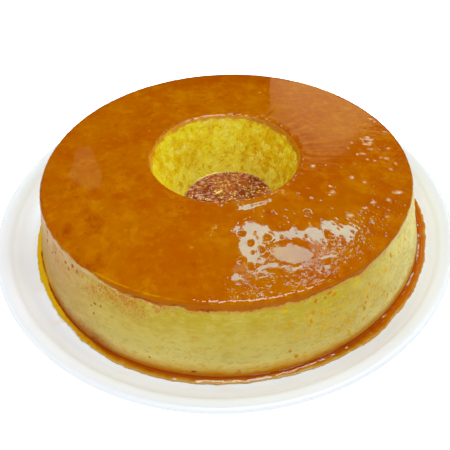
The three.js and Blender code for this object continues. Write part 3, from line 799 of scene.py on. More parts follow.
def build_caramel():
    base = TOP_Z - CARAMEL_T
    hole_c = HOLE_R_TOP - 0.5 + HOLE_EDGE_R
    inner = arc(hole_c, TOP_Z - HOLE_EDGE_R, HOLE_EDGE_R, 160, 90, 8)
    outer = arc(SHOULDER_R - EDGE_R, TOP_Z - EDGE_R, EDGE_R, 90, 16, 9)
    pr = np.concatenate([
        [[60, base], [hole_r(base) + 1.5, base], [hole_r(base), base]],
        polyline([(hole_r(base), base), tuple(inner[0])], 0.45)[:-1],
        inner[:-1],
        polyline([tuple(inner[-1]), tuple(outer[0])], 0.58),
        outer[1:],
        polyline([tuple(outer[-1]), (wall_r(base), base)], 0.45)[1:],
        [[wall_r(base), base], [wall_r(base) - 1.5, base], [60, base]],
    ])
    nrm = profile_normals(pr)
    nrm[:3] = nrm[-3:] = (0, 0)
    nrm[3], nrm[-4] = nrm[4], nrm[-5]
    nrm[2], nrm[-3] = nrm[3], nrm[-4]
    a = np.concatenate([columns(0.26, 1.0, -100, -20)[: int(round(80 / 0.26))],
                        np.radians(-20 + np.arange(178) * 0.5), np.radians(69 + np.arange(191))])
    r, z = pr[:, 0][:, None], pr[:, 1][:, None]
    x, y = flan_nudge(r, a, z)
    z = np.broadcast_to(z, x.shape)
    fx = x - FLAN_X
    t = np.degrees(np.arctan2(y, fx))
    h, pit, ring = glaze_relief(fx, y)
    up = np.maximum(nrm[:, 1], 0)[:, None]
    p0 = xyz(x, y, z)
    on_side = r > 80
    down = np.maximum(TOP_Z - z, 0) * np.ones_like(x)
    sidew = np.clip((1 - up) / 0.64, 0, 1) * (np.abs(nrm).sum(1) > 0)[:, None]
    side_h = sidew * np.where(on_side, wall_skin(t, p0), hole_skin(p0))
    disp = h * np.clip((up - 0.37) / 0.63, 0, 1) ** 0.5 + side_h
    nr, nz = nrm[:, 0][:, None], nrm[:, 1][:, None]
    # the highest relief stays within the solid's height
    zz = np.where(z > base + 0.01, np.minimum(z + disp * nz - 0.22 * up, TOP_Z), z)
    p = xyz(x + disp * nr * np.cos(a), y + disp * nr * np.sin(a), zz)
    rad = np.hypot(fx, y)
    hole_line = 0.9 + 1.0 * fbm(p0, (5, 5, 3), 3, seed=53) + 0.5 * fbm(p0, (1.4, 1.4, 1.0), 2, seed=57)
    line = np.where(on_side, layer_edge(t, p0), hole_line)
    fringe = smooth(down, line - 0.3, line + 0.25)
    side = np.where(on_side, smooth(down, 0.5, 1.6), smooth(down, 0.2, 1.0))
    blotch = np.where(on_side, layer_burnt(t, p0, line), 0)
    gold = smooth(t, -131, -123) * smooth(t, -99, -106) + 0.15
    gold = 0.6 * gold * smooth(down, 0.22, 0.3) * smooth(down, 0.75, 0.5) * (r > 80)
    gold = gold * smooth(fbm(p0, (2.6, 2.6, 2.0), 3, seed=55, gain=0.7), -0.35, 0.15)
    # painted shade: a darker band along the back of the rim; then patches and runs where the caramel lies thicker
    dark = 0.55 * smooth(rad, 84, 92) * smooth(t, 50, 74) * smooth(t, 128, 106)
    dark = dark + 0.35 * smooth(fbm(p0, 17, 3, seed=61), 0.25, 0.6)
    runs = smooth(fbm(xyz(t / 3.0, rad / 22, 0 * x), 1.0, 3, seed=62), -0.15, 0.35)
    dark = dark + smooth(rad, 76, 47) * smooth(t, -38, -14) * smooth(t, 66, 34) * (0.12 + 0.6 * runs)
    lively = smooth(t, -98, -80) * smooth(t, 34, 10) * (0.12 + 0.88 * smooth(rad, 82, 92)) * up**4
    lively = lively * (1 - smooth(t, -12, -40) * smooth(rad, 93, 88))
    me = grid_mesh("caramel_glaze", p, {
        "dark": np.clip(dark, 0, 1), "pit": pit, "foam": ring * up, "side": side, "blotch": blotch, "fringe": fringe,
        "gold": np.clip(gold, 0, 1), "inner": np.where(on_side, 0.0, 1.0), "h": np.clip(height(z), 0, 1) + 0 * x,
        "round": wall_side(t), "under": layer_stain(t, p0, line, down), "cream": layer_cream(t, p0, line, down),
        "east": np.cos(np.radians(t)), "stain": hole_stain(p0), "lively": lively,
    }, flip=True)
    place("caramel_glaze", me, caramel_material(), "caramel_layer")


# ------------------------------------------------------------------ custard
def scatter_mask(u, v, spots):
    """1 inside the spots, u and v in mm over the surface; spots are u, v, half width, half height, tilt."""
    mask = np.zeros_like(u)
    for cu, cv, w, hh, tilt in spots:
        near = (np.abs(u - cu) < 1.6 * (w + hh)) & (np.abs(v - cv) < 1.6 * (w + hh))
        if not near.any():
            continue
        du, dv = u[near] - cu, v[near] - cv
        c, s = math.cos(tilt), math.sin(tilt)
        q = np.hypot((du * c + dv * s) / w, (-du * s + dv * c) / hh)
        mask[near] = np.maximum(mask[near], np.clip(1.25 - q, 0, 1) ** 0.7)
    return np.clip(mask, 0, 1)


def wall_spots():
    """Pores and orange flecks on the outer wall: u and v in mm round it and over the syrup, half sizes, tilt."""
    rng = np.random.default_rng(77)
    pores, orange = [], []
    mm = lambda deg: math.radians(deg) * 110.0
    for deg, v, w, hh in ((-148.3, 33, 1.1, 0.9), (-148.5, 27.2, 1.0, 0.8), (-144.2, 25.7, 0.8, 0.7), (-142, 29, 0.7, 0.6),
                          (-136.2, 30.7, 0.9, 0.7), (-133, 32.2, 0.9, 0.8), (-134.6, 28.6, 0.7, 0.6),
                          (-124.5, 20.8, 0.8, 0.6), (-125.7, 18.5, 0.5, 0.4), (-122.5, 21.5, 0.5, 0.5), (-124.8, 15.2, 0.6, 0.5),
                          (-131, 31.4, 0.7, 0.6), (-109, 4.8, 0.5, 0.4), (-98.8, 1.4, 1.3, 0.5)):
        pores.append((mm(deg), v, w, hh, 0.2))
    for _ in range(50):  # all round
        pores.append((mm(rng.uniform(0, 180)), rng.uniform(1, 33), rng.uniform(0.3, 0.5), rng.uniform(0.3, 0.6), rng.normal(0, 0.8)))
    for deg, v, w, hh in ((-71.2, 25.2, 0.8, 1.1), (-71.8, 21.2, 0.6, 1.3), (-72.2, 19.3, 0.5, 0.7), (-70.5, 31, 0.7, 0.8),
                          (-66.8, 32, 1.2, 0.6), (-65.4, 30.4, 1.3, 0.7), (-68.0, 30.6, 0.7, 0.5), (-45.0, 28.6, 0.6, 1.6),
                          (-54.5, 24.5, 0.6, 0.8), (-55.2, 18.0, 0.5, 0.9), (-56.5, 13.0, 0.6, 1.2), (-56.0, 15.6, 0.5, 0.8),
                          (-50.0, 11.0, 0.6, 0.5), (-59.0, 3.8, 0.7, 0.6), (-62.5, 15.8, 1.1, 0.5), (-64.2, 15.6, 1.2, 0.5),
                          (-68.5, 17.4, 0.9, 0.6), (-69.6, 16.8, 0.7, 0.6), (-75.8, 5.0, 0.9, 0.8), (-77.2, 8.8, 0.6, 0.6),
                          (-77.5, 22.7, 0.7, 0.6), (-77.8, 30.2, 1.4, 0.6), (-51.5, 26.5, 0.5, 0.7), (-45.4, 25.4, 0.5, 0.8)):
        orange.append((mm(deg), v, w, hh, 0.25))
    for _ in range(16):  # front right, in clusters
        at, up = rng.normal(-63, 10), rng.uniform(8, 31)
        for _ in range(rng.integers(4, 9)):
            orange.append((mm(at + rng.normal(0, 1.6)), np.clip(up + rng.normal(0, 2.6), 3, 33), rng.uniform(0.22, 0.5),
                           rng.uniform(0.25, 0.6), rng.normal(0.3, 0.6)))
    for _ in range(22):
        orange.append((mm(rng.uniform(-44, -5)), rng.uniform(8, 32), rng.uniform(0.25, 0.45), rng.uniform(0.5, 1.1), rng.normal(0.2, 0.2)))
    for deg, v, w, hh in ((-107.2, 11.6, 0.8, 0.5), (-106.6, 10.8, 0.6, 0.4), (-90.0, 16.4, 0.6, 0.6), (-88.6, 11.2, 0.5, 0.4),
                          (-98.0, 21.5, 0.4, 0.3), (-112.5, 20.5, 0.5, 0.4)):
        orange.append((mm(deg), v, w, hh, 0.4))
    for _ in range(9):
        orange.append((mm(rng.uniform(-100, -76)), rng.uniform(12, 30), rng.uniform(0.25, 0.4), rng.uniform(0.25, 0.4), rng.normal(0, 0.5)))
    for _ in range(90):
        orange.append((mm(rng.uniform(0, 180)), rng.uniform(2, 31), rng.uniform(0.3, 0.6), rng.uniform(0.3, 0.7), rng.normal(0, 0.8)))
    smudges = [(mm(deg), v, w, hh, 0.15) for deg, v, w, hh in (
        (-120.0, 31.0, 1.2, 0.8), (-119.3, 29.0, 1.3, 0.7), (-118.0, 28.6, 1.0, 0.5), (-121.2, 31.8, 1.0, 0.5),
        (-125.0, 29.5, 0.7, 1.1), (-128.2, 32.3, 1.4, 0.6), (-127.0, 30.2, 0.6, 0.6), (-116.5, 31.8, 1.3, 0.6),
        (-113.6, 31.0, 1.3, 0.5), (-110.8, 30.4, 1.1, 0.5), (-107.2, 29.4, 1.0, 0.5), (-114.8, 27.6, 0.9, 0.4),
        (-122.8, 26.4, 0.7, 0.6), (-89.0, 1.8, 1.4, 1.2), (-93.5, 0.8, 1.6, 0.6), (-119.0, 19.0, 0.9, 0.5))]
    return pores, orange, smudges


def build_custard_wall():
    top = TOP_Z - CARAMEL_T
    foot = FLOOR_Z + GAP
    foot_r = wall_r(foot + 1.6)
    pr = np.concatenate([
        [[72, top - 0.005], [wall_r(top) - 2, top - 0.005], [wall_r(top), top - 0.005]],
        polyline([(wall_r(top), top - 0.005), (wall_r(SYRUP_Z - 0.2), SYRUP_Z - 0.2)], 0.48),
        arc(foot_r - 1.6, foot + 1.6, 1.6, 0, -90, 3),
        [[100, foot], [72, foot]],
    ])
    nrm = profile_normals(pr)
    nrm[:3] = nrm[-6:] = (0, 0)
    nrm[2] = nrm[3] = nrm[4]
    a = columns(0.21, 0.85, -184, 10)
    r, z = pr[:, 0][:, None], pr[:, 1][:, None]
    x, y = flan_nudge(r, a, z)
    z = np.maximum(np.broadcast_to(z, x.shape), plate_top(np.hypot(x, y)) + GAP)
    p0 = xyz(x, y, z)
    ang = np.degrees(np.broadcast_to(a, x.shape))
    ang = (ang + 180) % 360 - 180
    u = np.radians(ang) * 110.0
    v = z - SYRUP_Z
    pores, orange, smudges = wall_spots()
    ragged = fbm(p0, 1.0, 2, seed=20)
    pore = smooth(scatter_mask(u, v, pores) * smooth(ragged, -0.75, -0.1), 0.08, 0.4)
    rust = smooth(scatter_mask(u, v, orange[:12] + orange[18:20]) * smooth(ragged, -0.7, -0.1), 0.05, 0.25)
    rust = np.maximum(rust, 0.85 * smooth(scatter_mask(u, v, smudges) * smooth(ragged, -0.8, 0.3), 0.05, 0.5))
    org = smooth(scatter_mask(u, v, orange) * smooth(ragged, -0.7, -0.1), 0.05, 0.25)
    # a small real bump whose pale colour is a painted highlight
    pale_bump_highlight = scatter_mask(u, v, [(math.radians(-105.8) * 110.0, 32.6, 1.3, 0.8, 0.0)])
    disp = np.minimum(wall_skin(ang, p0) - 0.12 * pore - 0.04 * org + 0.3 * pale_bump_highlight, 0.6)
    nr, nz = nrm[:, 0][:, None], nrm[:, 1][:, None]
    zz = np.where(z < top - 0.01, z + disp * nz, z)
    p = xyz(x + disp * nr * np.cos(a), y + disp * nr * np.sin(a), zz)
    # colours' masks
    wander = fbm(xyz(np.cos(u / 110) * 110, np.sin(u / 110) * 110, 0 * u), 11, 3, seed=21)
    fray = fbm(p0, (2.4, 2.4, 1.5), 3, seed=22)
    line = layer_edge(ang, p0)
    down = TOP_Z - z
    band = smooth(down, line + 0.25, line - 0.3)
    under = layer_stain(ang, p0, line, down)
    streaks = smooth(fbm(p0, (1.6, 1.6, 4.0), 3, seed=23), 0.02, 0.35) * smooth(ang, -134, -124) * smooth(ang, -96, -112)
    under = np.maximum(under, 0.7 * streaks * smooth(down, 13, 4.5))
    foot_line = v + 1.4 * wander + 0.9 * fray
    turned = smooth(ang, -179, -160)
    low = 7.0 - 2.6 * smooth(ang, -76, -58) * smooth(ang, 175, 120)
    yellow = smooth(foot_line, low, 0.6) * (1 - 0.75 * smooth(ang, -104, -122) * turned)
    yellow = np.maximum(yellow, 0.65 * smooth(ang, -136, -145) * smooth(ang, -176, -166) * smooth(foot_line, 17, 5))
    soak = smooth(v + 0.5 * wander + 0.6 * fray, 2.3 + 0.6 * smooth(ang, -84, -94) * turned, 0.1)
    soak = soak * (1 - 0.5 * smooth(ang, -70, -54) * smooth(ang, 175, 120))
    deepl = smooth(ang, -150, -140) * smooth(ang, -104, -120)
    soak = np.maximum(soak, 0.62 * deepl * smooth(v + 1.2 * fray + 1.6 * wander, 6.5, 0.5))
    lump = smooth(scatter_mask(u, v, [(math.radians(-124.2) * 110.0, 0.9, 2.4, 1.7, 0.3)]) * smooth(ragged, -0.8, 0.2), 0.06, 0.4)
    burnt = smooth(ang, -148, -141) * smooth(ang, -113, -124) * smooth(v + 1.1 * fray + 1.8 * wander, 9.0, 0.5)
    soak = np.maximum(soak, 0.5 * streaks * smooth(down, 12, 4.5))
    burnt = np.maximum(burnt, 1.4 * lump)
    flecks = smooth(ang, -84, -66) * smooth(ang, -20, -42) * smooth(fbm(p0, 7, 3, seed=24), -0.1, 0.35)
    cluster = smooth(np.hypot((ang + 61.0) / 4.5, (v - 30) / 2.0), 1.1, 0.5)
    cluster = np.maximum(cluster, 0.9 * smooth(np.hypot((ang + 69.0) / 3.0, (v - 12) / 4.0), 1.1, 0.4))
    flecks = np.maximum(0.8 * flecks, cluster)
    prick = smooth(ang, -153, -147) * smooth(ang, -98, -112) * smooth(down, 19, 7)
    prick = np.maximum(prick, 0.3 * smooth(ang, -98, -60) * smooth(ang, 175, 120))
    me = grid_mesh("custard_side", p, {
        "h": np.clip(height(z), 0, 1), "round": wall_side(ang), "pore": pore, "orange": org, "soak": soak, "foot": yellow, "rust": rust, "burnt": burnt,
        "under": under, "flecks": flecks, "prick": prick, "band": band, "blotch": layer_burnt(ang, p0, line),
        "cream": np.maximum(layer_cream(ang, p0, line, down), pale_bump_highlight),
    }, flip=False)
    place("custard_side", me, custard_wall_material(), "custard")


def build_custard_hole():
    top = TOP_Z - CARAMEL_T
    foot = FLOOR_Z + GAP
    pr = np.concatenate([
        [[72.5, foot], [hole_r(foot) + 2, foot]],
        polyline([(hole_r(foot), foot), (hole_r(top), top - 0.005)], 0.45),
        [[hole_r(top), top - 0.005], [hole_r(top) + 2, top - 0.005], [72.5, top - 0.005]],
    ])
    nrm = profile_normals(pr)
    nrm[:2] = nrm[-3:] = (0, 0)
    nrm[-3] = nrm[-4] = nrm[-5]
    n = 600
    a = np.arange(n) / n * TAU
    r, z = pr[:, 0][:, None], pr[:, 1][:, None]
    x, y = flan_nudge(r, a, z)
    z = np.broadcast_to(z, x.shape)
    p0 = xyz(x, y, z)
    ang = np.degrees(np.arctan2(np.sin(a), np.cos(a))) * np.ones_like(x)
    u, v = np.radians(ang) * 36.0, z - SYRUP_Z
    rng = np.random.default_rng(5)
    mm = lambda deg: math.radians(deg) * 36.0
    spots = [(mm(rng.uniform(-180, 180)), rng.uniform(4, 33), rng.uniform(0.2, 0.4), rng.uniform(0.2, 0.5),
              rng.normal(0, 0.5)) for _ in range(30)]
    spots += [(mm(rng.uniform(0, 50)), rng.uniform(10, 33), rng.uniform(0.3, 0.55), rng.uniform(0.4, 1.0),
               rng.normal(0, 0.3)) for _ in range(26)]
    spots += [(mm(28), 26, 0.7, 2.0, 0.1), (mm(48), 19, 0.5, 1.0, 0.0), (mm(64), 31, 0.9, 0.8, 0.2), (mm(20), 22, 0.5, 1.2, 0.1)]
    pore = smooth(scatter_mask(u, v, spots) * smooth(fbm(p0, 1.2, 2, seed=36), -0.6, 0.0), 0.1, 0.7)
    disp = hole_skin(p0) - 0.15 * pore
    nr, nz = nrm[:, 0][:, None], nrm[:, 1][:, None]
    zz = np.where(z < top - 0.01, z + disp * nz, z)
    p = xyz(x + disp * nr * np.cos(a), y + disp * nr * np.sin(a), zz)
    me = grid_mesh("custard_bore", p, {
        "h": np.clip(height(z), 0, 1) + 0 * x, "east": np.cos(np.radians(ang)), "pore": pore, "stain": hole_stain(p0),
    })
    place("custard_bore", me, custard_hole_material(), "custard")


# ------------------------------------------------------------------ syrup
def build_pool():
    n = 1200
    a = np.arange(n) / n * TAU
    s = np.concatenate([[-0.18, -0.02, 0.02, 0.06], np.linspace(0.1, 0.66, 19), np.linspace(0.7, 0.86, 5),
                        [0.89, 0.92, 0.945, 0.965, 0.98, 0.99, 1.0, 1.0]])[:, None]
    inner = wall_r(SYRUP_Z) + wave(BASE_WAVES, a) + 0.15
    ring = xyz(np.cos(a) * 118, np.sin(a) * 118, 0 * a)
    ang = np.degrees(np.arctan2(np.sin(a), np.cos(a)))
    ragged = 0.6 * fbm(ring, 11, 3, seed=71) + 0.42 * fbm(ring, 2.4, 3, seed=72)
    swell = 1.0 * smooth(ang, -66, -54) * smooth(ang, -26, -36) + 0.5 * smooth(ang, -20, -12) * smooth(ang, 2, -4)
    swell = swell - 0.3 * smooth(ang, -158, -150) * smooth(ang, -130, -138)
    outer = POOL_R + wave(POOL_WAVES, a) + ragged + 0.15 + swell
    r = inner + s * (outer - inner)
    x, y = r * np.cos(a) + FLAN_X, r * np.sin(a)
    p0 = xyz(x, y, 0 * x)
    # a level collar of syrup round the custard, a low uneven shoulder, then a film out to the edge
    ground = plate_top(np.hypot(x, y)) + 0.05
    crest = 0.40 + 0.28 * smooth(ang, -74, -86) * smooth(ang, -112, -100) + 0.08 * fbm(ring, 10, 2, seed=75)
    crest = crest + 0.06 * fbm(ring, 2.6, 2, seed=77)
    scallop = smooth(ang, -94, -91) * smooth(ang, -77, -80)
    crest = crest + 0.16 * scallop * (np.abs(np.sin(np.radians(ang) * 100 + 3 * fbm(ring, 9, 2, seed=84))) - 0.5)
    step = (outer - inner) * np.clip(0.031 + 0.05 * fbm(ring, 3.4, 3, seed=78), 0.0, 0.065)
    rise = 0.15 * np.clip((s - 0.05) / (crest - 0.12), 0, 1)
    level = SYRUP_Z - 0.62 + rise - step * smooth(s, crest - 0.08, crest + 0.10) - 0.06 * smooth(s, crest, 1.0)
    level = level + (0.018 * fbm(p0, 3.0, 2, seed=74) + 0.012 * fbm(p0, 1.2, 2, seed=76)) * smooth(s, 0.2, crest)
    cling = smooth(fbm(ring, 6, 3, seed=85), -0.1, 0.3) * (1 - smooth(ang, -116, -108) * smooth(ang, -83, -88))
    level = level + 0.26 * cling * smooth(s, 0.1, -0.05) ** 2
    film = ground + 0.36 + 0.04 * fbm(p0, 2.0, 2, seed=79)
    z = 0.5 * (level + film + np.sqrt((level - film) ** 2 + 0.02))
    fall = np.clip((1.0 - s) / 0.11, 0, 1)
    z = ground + (z - ground) * np.sqrt(np.clip(1 - (1 - fall) ** 2, 0, 1))
    z[-1] = ground[-1] - 0.02
    p = xyz(x, y, z)
    thin = 0.45 * smooth(ang, -112, -124) + 0.55 * smooth(ang, -126, -142) + smooth(ang, 165, 178)
    warm = smooth(ang, -64, -44) * smooth(ang, 120, 60)
    across = np.clip(s + 0.16 * fbm(ring, 8, 2, seed=73) * smooth(s, 1.0, 0.6), 0, 1)
    me = grid_mesh("syrup_pool", p, {
        "across": across + 0 * x, "thin": np.clip(thin + 0 * s, 0, 1), "warm": warm + 0 * x,
    }, flip=True)
    place("syrup_pool", me, syrup_material(), "syrup_ring")


def build_well():
    n = 320
    a = np.arange(n) / n * TAU
    s = np.concatenate([np.linspace(0.02, 0.86, 52), np.linspace(0.875, 1.0, 14)])[:, None]
    edge = hole_r(SYRUP_Z) + wave(HOLE_WAVES, a) + 0.2
    r = s * edge
    x, y = r * np.cos(a) + HOLE_LEAN[0] + FLAN_X, r * np.sin(a) + HOLE_LEAN[1]
    p0 = xyz(x, y, 0 * x)
    foam = smooth(fbm(p0, 8, 3, seed=81), -0.2, 0.3) * (0.35 + 0.65 * smooth(x, -12, 6))
    # painted sheen: stronger to the left and back of the well
    painted_sheen = smooth(x, 4, -14) + 0.5 * smooth(y, 0, 14)
    z = SYRUP_Z - 0.45 + 1.5 * smooth(s, 0.93, 1.07) ** 2
    z = z + 0.12 * fbm(p0, 3.2, 3, seed=82) * smooth(s, 0.97, 0.85) + 0.05 * foam
    p = xyz(x, y, z)
    # edge: painted meniscus highlight, brightest at the back left
    edge = smooth(s, 0.945, 0.975) * (0.15 + np.exp(-(((np.degrees(a) - 118) / 26) ** 2)))
    me = grid_mesh("syrup_in_well", p, {"edge": np.clip(edge, 0, 1), "foam": foam, "painted_sheen": np.clip(painted_sheen + 0 * x, 0, 1)}, flip=False, first=True)
    place("syrup_in_well", me, well_material(), "syrup_well")


def lumps_mesh(name, items):
    """Small irregular lumps: centre, three half sizes, seed."""
    verts, faces = [], []
    for (cx, cy, cz), (sx, sy, sz), turn, seed in items:
        k = len(verts)
        rows, cols = 5, 8
        t = np.linspace(0, math.pi, rows + 2)
        b = np.arange(cols) / cols * TAU
        pts = [(0, 0, 1)]
        for ti in t[1:-1]:
            pts += [(math.sin(ti) * math.cos(bi), math.sin(ti) * math.sin(bi), math.cos(ti)) for bi in b]
        pts.append((0, 0, -1))
        pts = np.array(pts)
        bulge = 1 + 0.32 * noise(pts * 1.7 + seed * 3.1, seed)
        pts = pts * bulge[:, None] * (sx, sy, sz)
        c, s_ = math.cos(turn), math.sin(turn)
        pts = np.stack([pts[:, 0] * c - pts[:, 1] * s_, pts[:, 0] * s_ + pts[:, 1] * c, pts[:, 2]], -1) + (cx, cy, cz)
        verts.extend(pts)
        for j in range(cols):
            faces.append((k, k + 1 + j, k + 1 + (j + 1) % cols))
        for i in range(rows - 1):
            for j in range(cols):
                q = k + 1 + i * cols
                faces.append((q + j, q + cols + j, q + cols + (j + 1) % cols, q + (j + 1) % cols))
        last = k + 1 + rows * cols
        q = k + 1 + (rows - 1) * cols
        for j in range(cols):
            faces.append((q + j, last, q + (j + 1) % cols))
    return tri_mesh(name, verts, faces)


def build_crumbs():
    rng = np.random.default_rng(12)
    cx, cy = HOLE_LEAN[0] + FLAN_X, HOLE_LEAN[1]
    items = []
    for i in range(85):
        rr, t = 27.5 * math.sqrt(rng.uniform(0, 1)), rng.uniform(0, TAU)
        size = rng.uniform(0.22, 0.6) if i else 1.0
        items.append(((cx + rr * math.cos(t), cy + rr * math.sin(t), SYRUP_Z - 0.22),
                      (size * rng.uniform(0.8, 1.5), size * rng.uniform(0.7, 1.1), size * 0.45), rng.uniform(0, TAU), i))
    for px, py, size in ((-3.6, 7.0, 1.4), (-1.2, 8.6, 0.9), (-5.2, 8.8, 0.8), (4.8, 6.2, 0.55)):
        items.append(((px, py, SYRUP_Z - 0.1), (size * 1.3, size, size * 0.6), 0.4, 7))
    me = lumps_mesh("well_crumbs", items)
    place("well_crumbs", me, crumb_material("crumb", lin(222, 188, 66), lin(236, 214, 120)), None)


# ------------------------------------------------------------------ camera
def photo_camera():
    cam = bpy.data.cameras.new("camera")
    cam.lens, cam.sensor_width, cam.sensor_fit = 30.8, 36.0, "HORIZONTAL"
    cam.clip_start, cam.clip_end = 0.01, 20
    ob = bpy.data.objects.new("camera", cam)
    bpy.context.scene.collection.objects.link(ob)
    pitch, roll = 0.7999, -0.0406
    back = Vector((0, -math.cos(pitch), math.sin(pitch)))
    right = Vector((1, 0, 0))
    up = right.cross(-back)
    r2 = right * math.cos(roll) + up * math.sin(roll)
    u2 = -right * math.sin(roll) + up * math.cos(roll)
    at = Vector((FLAN_X - 1.265, -187.244, TOP_Z + 131.482)) * MM
    ob.matrix_world = Matrix((
        (r2.x, u2.x, back.x, at.x), (r2.y, u2.y, back.y, at.y), (r2.z, u2.z, back.z, at.z), (0, 0, 0, 1),
    ))
    bpy.context.scene.camera = ob
    return at, r2, u2, -back


CAM = photo_camera()


def mirrored(px, py, wall_y, z=TOP_Z * MM):
    """Where on the wall y = wall_y (metres) a lamp must stand to be seen mirrored in the level plane z at that place
    of the 450 x 450 picture."""
    at, r2, u2, fwd = CAM
    d = fwd + r2 * ((px - 225) / 385) - u2 * ((py - 225) / 385)
    hit = at + d * ((z - at.z) / d.z)
    d.z = -d.z
    return hit + d * ((wall_y - hit.y) / d.y)


# ------------------------------------------------------------------ studio
def emission(name, colour, strength):
    m = bpy.data.materials.new(name)
    m.use_nodes = True
    nt = m.node_tree
    nt.nodes.clear()
    e = nt.nodes.new("ShaderNodeEmission")
    e.inputs[0].default_value = colour
    e.inputs[1].default_value = strength
    o = nt.nodes.new("ShaderNodeOutputMaterial")
    nt.links.new(e.outputs[0], o.inputs[0])
    return m


def card(name, corners, colour, strength):
    me = bpy.data.meshes.new(name)
    me.from_pydata([tuple(c) for c in corners], [], [tuple(range(len(corners)))])
    me.materials.append(emission(name, colour, strength))
    ob = bpy.data.objects.new(name, me)
    bpy.context.scene.collection.objects.link(ob)
    ob.visible_diffuse = False
    ob.visible_shadow = False
    ob.visible_camera = False
    return ob


def soft_card(name, corners, soft, colour, strength):
    """A card that fades to nothing along its soft corners."""
    mid = sum(corners, Vector()) / len(corners)
    n = len(corners)
    inner = [c + (mid - c) * (0.5 if soft[i] else 0.01) for i, c in enumerate(corners)]
    faces = [(i, (i + 1) % n, n + (i + 1) % n, n + i) for i in range(n)] + [(n + i, n + (i + 1) % n, 2 * n) for i in range(n)]
    me = bpy.data.meshes.new(name)
    me.from_pydata([tuple(c) for c in corners + inner + [mid]], [], faces)
    fade = me.attributes.new("fade", "FLOAT", "POINT")
    fade.data.foreach_set("value", [0.0 if k else 1.0 for k in soft] + [1.0] * (n + 1))
    mat = emission(name, colour, 0.0)
    nt = mat.node_tree
    at, mul = nt.nodes.new("ShaderNodeAttribute"), nt.nodes.new("ShaderNodeMath")
    at.attribute_name, mul.operation = "fade", "MULTIPLY"
    mul.inputs[1].default_value = strength
    nt.links.new(at.outputs[2], mul.inputs[0])
    nt.links.new(mul.outputs[0], next(k for k in nt.nodes if k.type == "EMISSION").inputs[1])
    me.materials.append(mat)
    ob = bpy.data.objects.new(name, me)
    bpy.context.scene.collection.objects.link(ob)
    ob.visible_diffuse = ob.visible_shadow = ob.visible_camera = False
    return ob


def area(name, at, target, size, power, colour=(1, 1, 1), glossy=False):
    li = bpy.data.lights.new(name, "AREA")
    li.shape = "RECTANGLE"
    li.size, li.size_y = size
    li.energy = power
    li.color = colour
    ob = bpy.data.objects.new(name, li)
    bpy.context.scene.collection.objects.link(ob)
    d = Vector(target) - Vector(at)
    ob.location = at
    ob.rotation_euler = d.to_track_quat("-Z", "Y").to_euler()
    ob.visible_glossy = glossy
    return ob


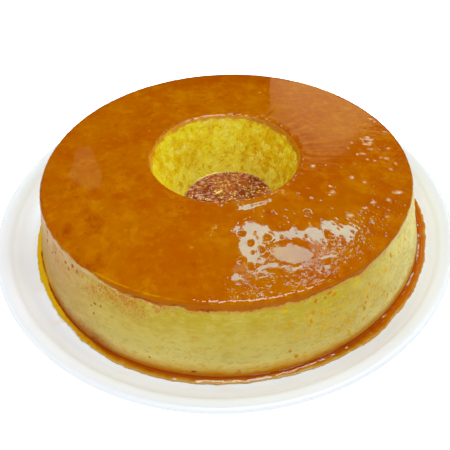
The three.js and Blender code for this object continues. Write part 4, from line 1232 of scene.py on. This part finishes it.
def build_studio():
    # floor
    me = bpy.data.meshes.new("floor")
    me.from_pydata([(-4, -4, 0), (4, -4, 0), (4, 4, 0), (-4, 4, 0)], [], [(0, 1, 2, 3)])
    m = bpy.data.materials.new("floor")
    m.use_nodes = True
    b = m.node_tree.nodes["Principled BSDF"]
    b.inputs["Base Color"].default_value = (0.8, 0.8, 0.8, 1)
    b.inputs["Roughness"].default_value = 0.9
    b.inputs["Specular IOR Level"].default_value = 0.1
    b.inputs["Emission Color"].default_value = (0.95, 0.985, 1, 1)
    b.inputs["Emission Strength"].default_value = 0.8
    me.materials.append(m)
    floor = bpy.data.objects.new("floor", me)
    bpy.context.scene.collection.objects.link(floor)
    floor.visible_glossy = False
    # world
    w = bpy.data.worlds.new("room")
    bpy.context.scene.world = w
    w.use_nodes = True
    bg = w.node_tree.nodes["Background"]
    bg.inputs[0].default_value = (0.93, 0.97, 1.0, 1)
    bg.inputs[1].default_value = 0.58
    w.cycles_visibility.glossy = False
    # soft light
    area("overhead", (0.0, 0.15, 1.5), (0, 0, 0), (2.0, 2.0), 21.0, (0.92, 0.97, 1.0))
    area("window", (0.45, 1.35, 1.35), (0, 0, 0.03), (0.9, 0.8), 14.0, (0.95, 0.98, 1.0))
    area("front_fill", (-0.25, -1.5, 0.9), (0, 0, 0.03), (1.6, 1.2), 9.8, (0.92, 0.97, 1.0))
    area("right_fill", (1.5, -0.4, 0.8), (0, 0, 0.03), (1.0, 1.0), 6.4, (0.92, 0.97, 1.0))
    area("left_fill", (-1.5, -0.2, 0.8), (0, 0, 0.03), (1.0, 1.0), 4.4, (0.92, 0.97, 1.0))
    # what the glaze mirrors: a window behind, a pale wall to its right, a lamp overhead and the table round the plate
    W = 1.4
    shapes = {
        "window_top": [(231, 231), (236, 226), (243, 228), (247, 222), (255, 222), (260, 226), (267, 225), (272, 230),
                       (280, 231), (290, 230), (293.5, 224), (296.5, 230), (303, 230), (309, 225), (317, 226), (322, 230),
                       (324, 236), (329, 241), (328, 246), (319, 244), (313, 242), (307, 239), (297, 237), (286, 237),
                       (280, 240), (274, 242), (268, 245), (262, 246), (257, 250), (259, 256), (266, 259), (264, 264),
                       (252, 262), (246, 258), (241, 252), (238, 246), (240, 240), (237, 236)],
        "window_right": [(320, 220), (331, 220), (338, 226), (345, 225), (353, 226), (359, 228), (357, 232), (352, 233),
                         (354.5, 237), (352, 241.5), (347, 240), (343, 236), (339, 237), (334, 240), (331, 234),
                         (326, 230), (322, 226)],
        "window_foot": [(231.5, 280), (235, 273), (244, 276), (252, 272), (260, 266.5), (268, 263.5), (280, 262.7),
                        (293, 268.3), (303, 265), (313, 262), (319, 257.3), (329, 255), (337, 253), (344, 256),
                        (337, 256.8), (329, 258.2), (320, 261), (314, 265.2), (303, 268.7), (293, 271.7), (280, 267),
                        (268, 267.4), (261, 271), (253, 277), (244, 281)],
        "window_sill": [(313, 271), (318, 267), (325, 265), (331, 266), (326, 268.5), (319, 271)],
    }
    for key, ring in shapes.items():
        card(key, [mirrored(px, py, W) for px, py in ring], (0.40, 1.0, 0.96, 1), 9.6)
    blob = [(269, 251), (276, 247), (285, 247), (290, 243), (298, 245), (307, 249), (314, 254), (312, 259), (305, 262.5),
            (294, 264.5), (282, 260.5), (274, 257.5)]
    card("window_view", [mirrored(px, py, W + 0.01) for px, py in blob], (0.42, 1.0, 0.94, 1), 7.0)
    dim = [(307, 243), (316, 245), (330, 248), (333, 252), (322, 256), (314, 253)]
    card("window_frame", [mirrored(px, py, W + 0.01) for px, py in dim], (0.55, 1.0, 0.8, 1), 1.8)
    dim = [(234, 263), (240, 260), (246, 264), (252, 266), (247, 273), (240, 272), (233, 272)]
    card("window_edge", [mirrored(px, py, W + 0.01) for px, py in dim], (0.55, 1.0, 0.8, 1), 1.2)
    wall = [(271, 60), (440, 60), (408, 110), (382, 124), (361, 138), (343, 158), (317, 166), (294, 155), (268, 134)]
    soft_card("pale_wall", [mirrored(px, py, W + 0.3) for px, py in wall], [k > 2 for k in range(len(wall))],
              (1.0, 0.85, 0.42, 1), 1.05)
    left = [(78, 148), (90, 146), (101, 170), (102, 186), (88, 190), (68, 176)]
    card("left_wall", [mirrored(px, py, W + 0.1) for px, py in left], (0.9, 0.9, 0.5, 1), 0.34)
    card("lamp", [(-0.20, -0.42, 1.6), (0.70, -0.42, 1.6), (0.70, 0.25, 1.6), (-0.20, 0.25, 1.6)], (0.80, 1.0, 0.98, 1), 11.0)
    z = 0.001
    card("table_left", [(-2.5, -0.14, z), (-0.1, -0.14, z), (-0.1, 2.5, z), (-2.5, 2.5, z)], (1.0, 0.95, 0.9, 1), 0.4)
    card("table_right", [(0.1, -0.1, z), (2.5, -0.1, z), (2.5, 2.5, z), (0.1, 2.5, z)], (0.95, 0.97, 1.0, 1), 0.4)


# ------------------------------------------------------------------ make it
build_plate()
build_caramel()
build_custard_wall()
build_custard_hole()
build_pool()
build_well()
build_crumbs()
build_studio()

scene = bpy.context.scene
scene.view_settings.view_transform = "Standard"
scene.view_settings.look = "None"
scene.view_settings.exposure = 0.0
scene.view_settings.gamma = 1.0
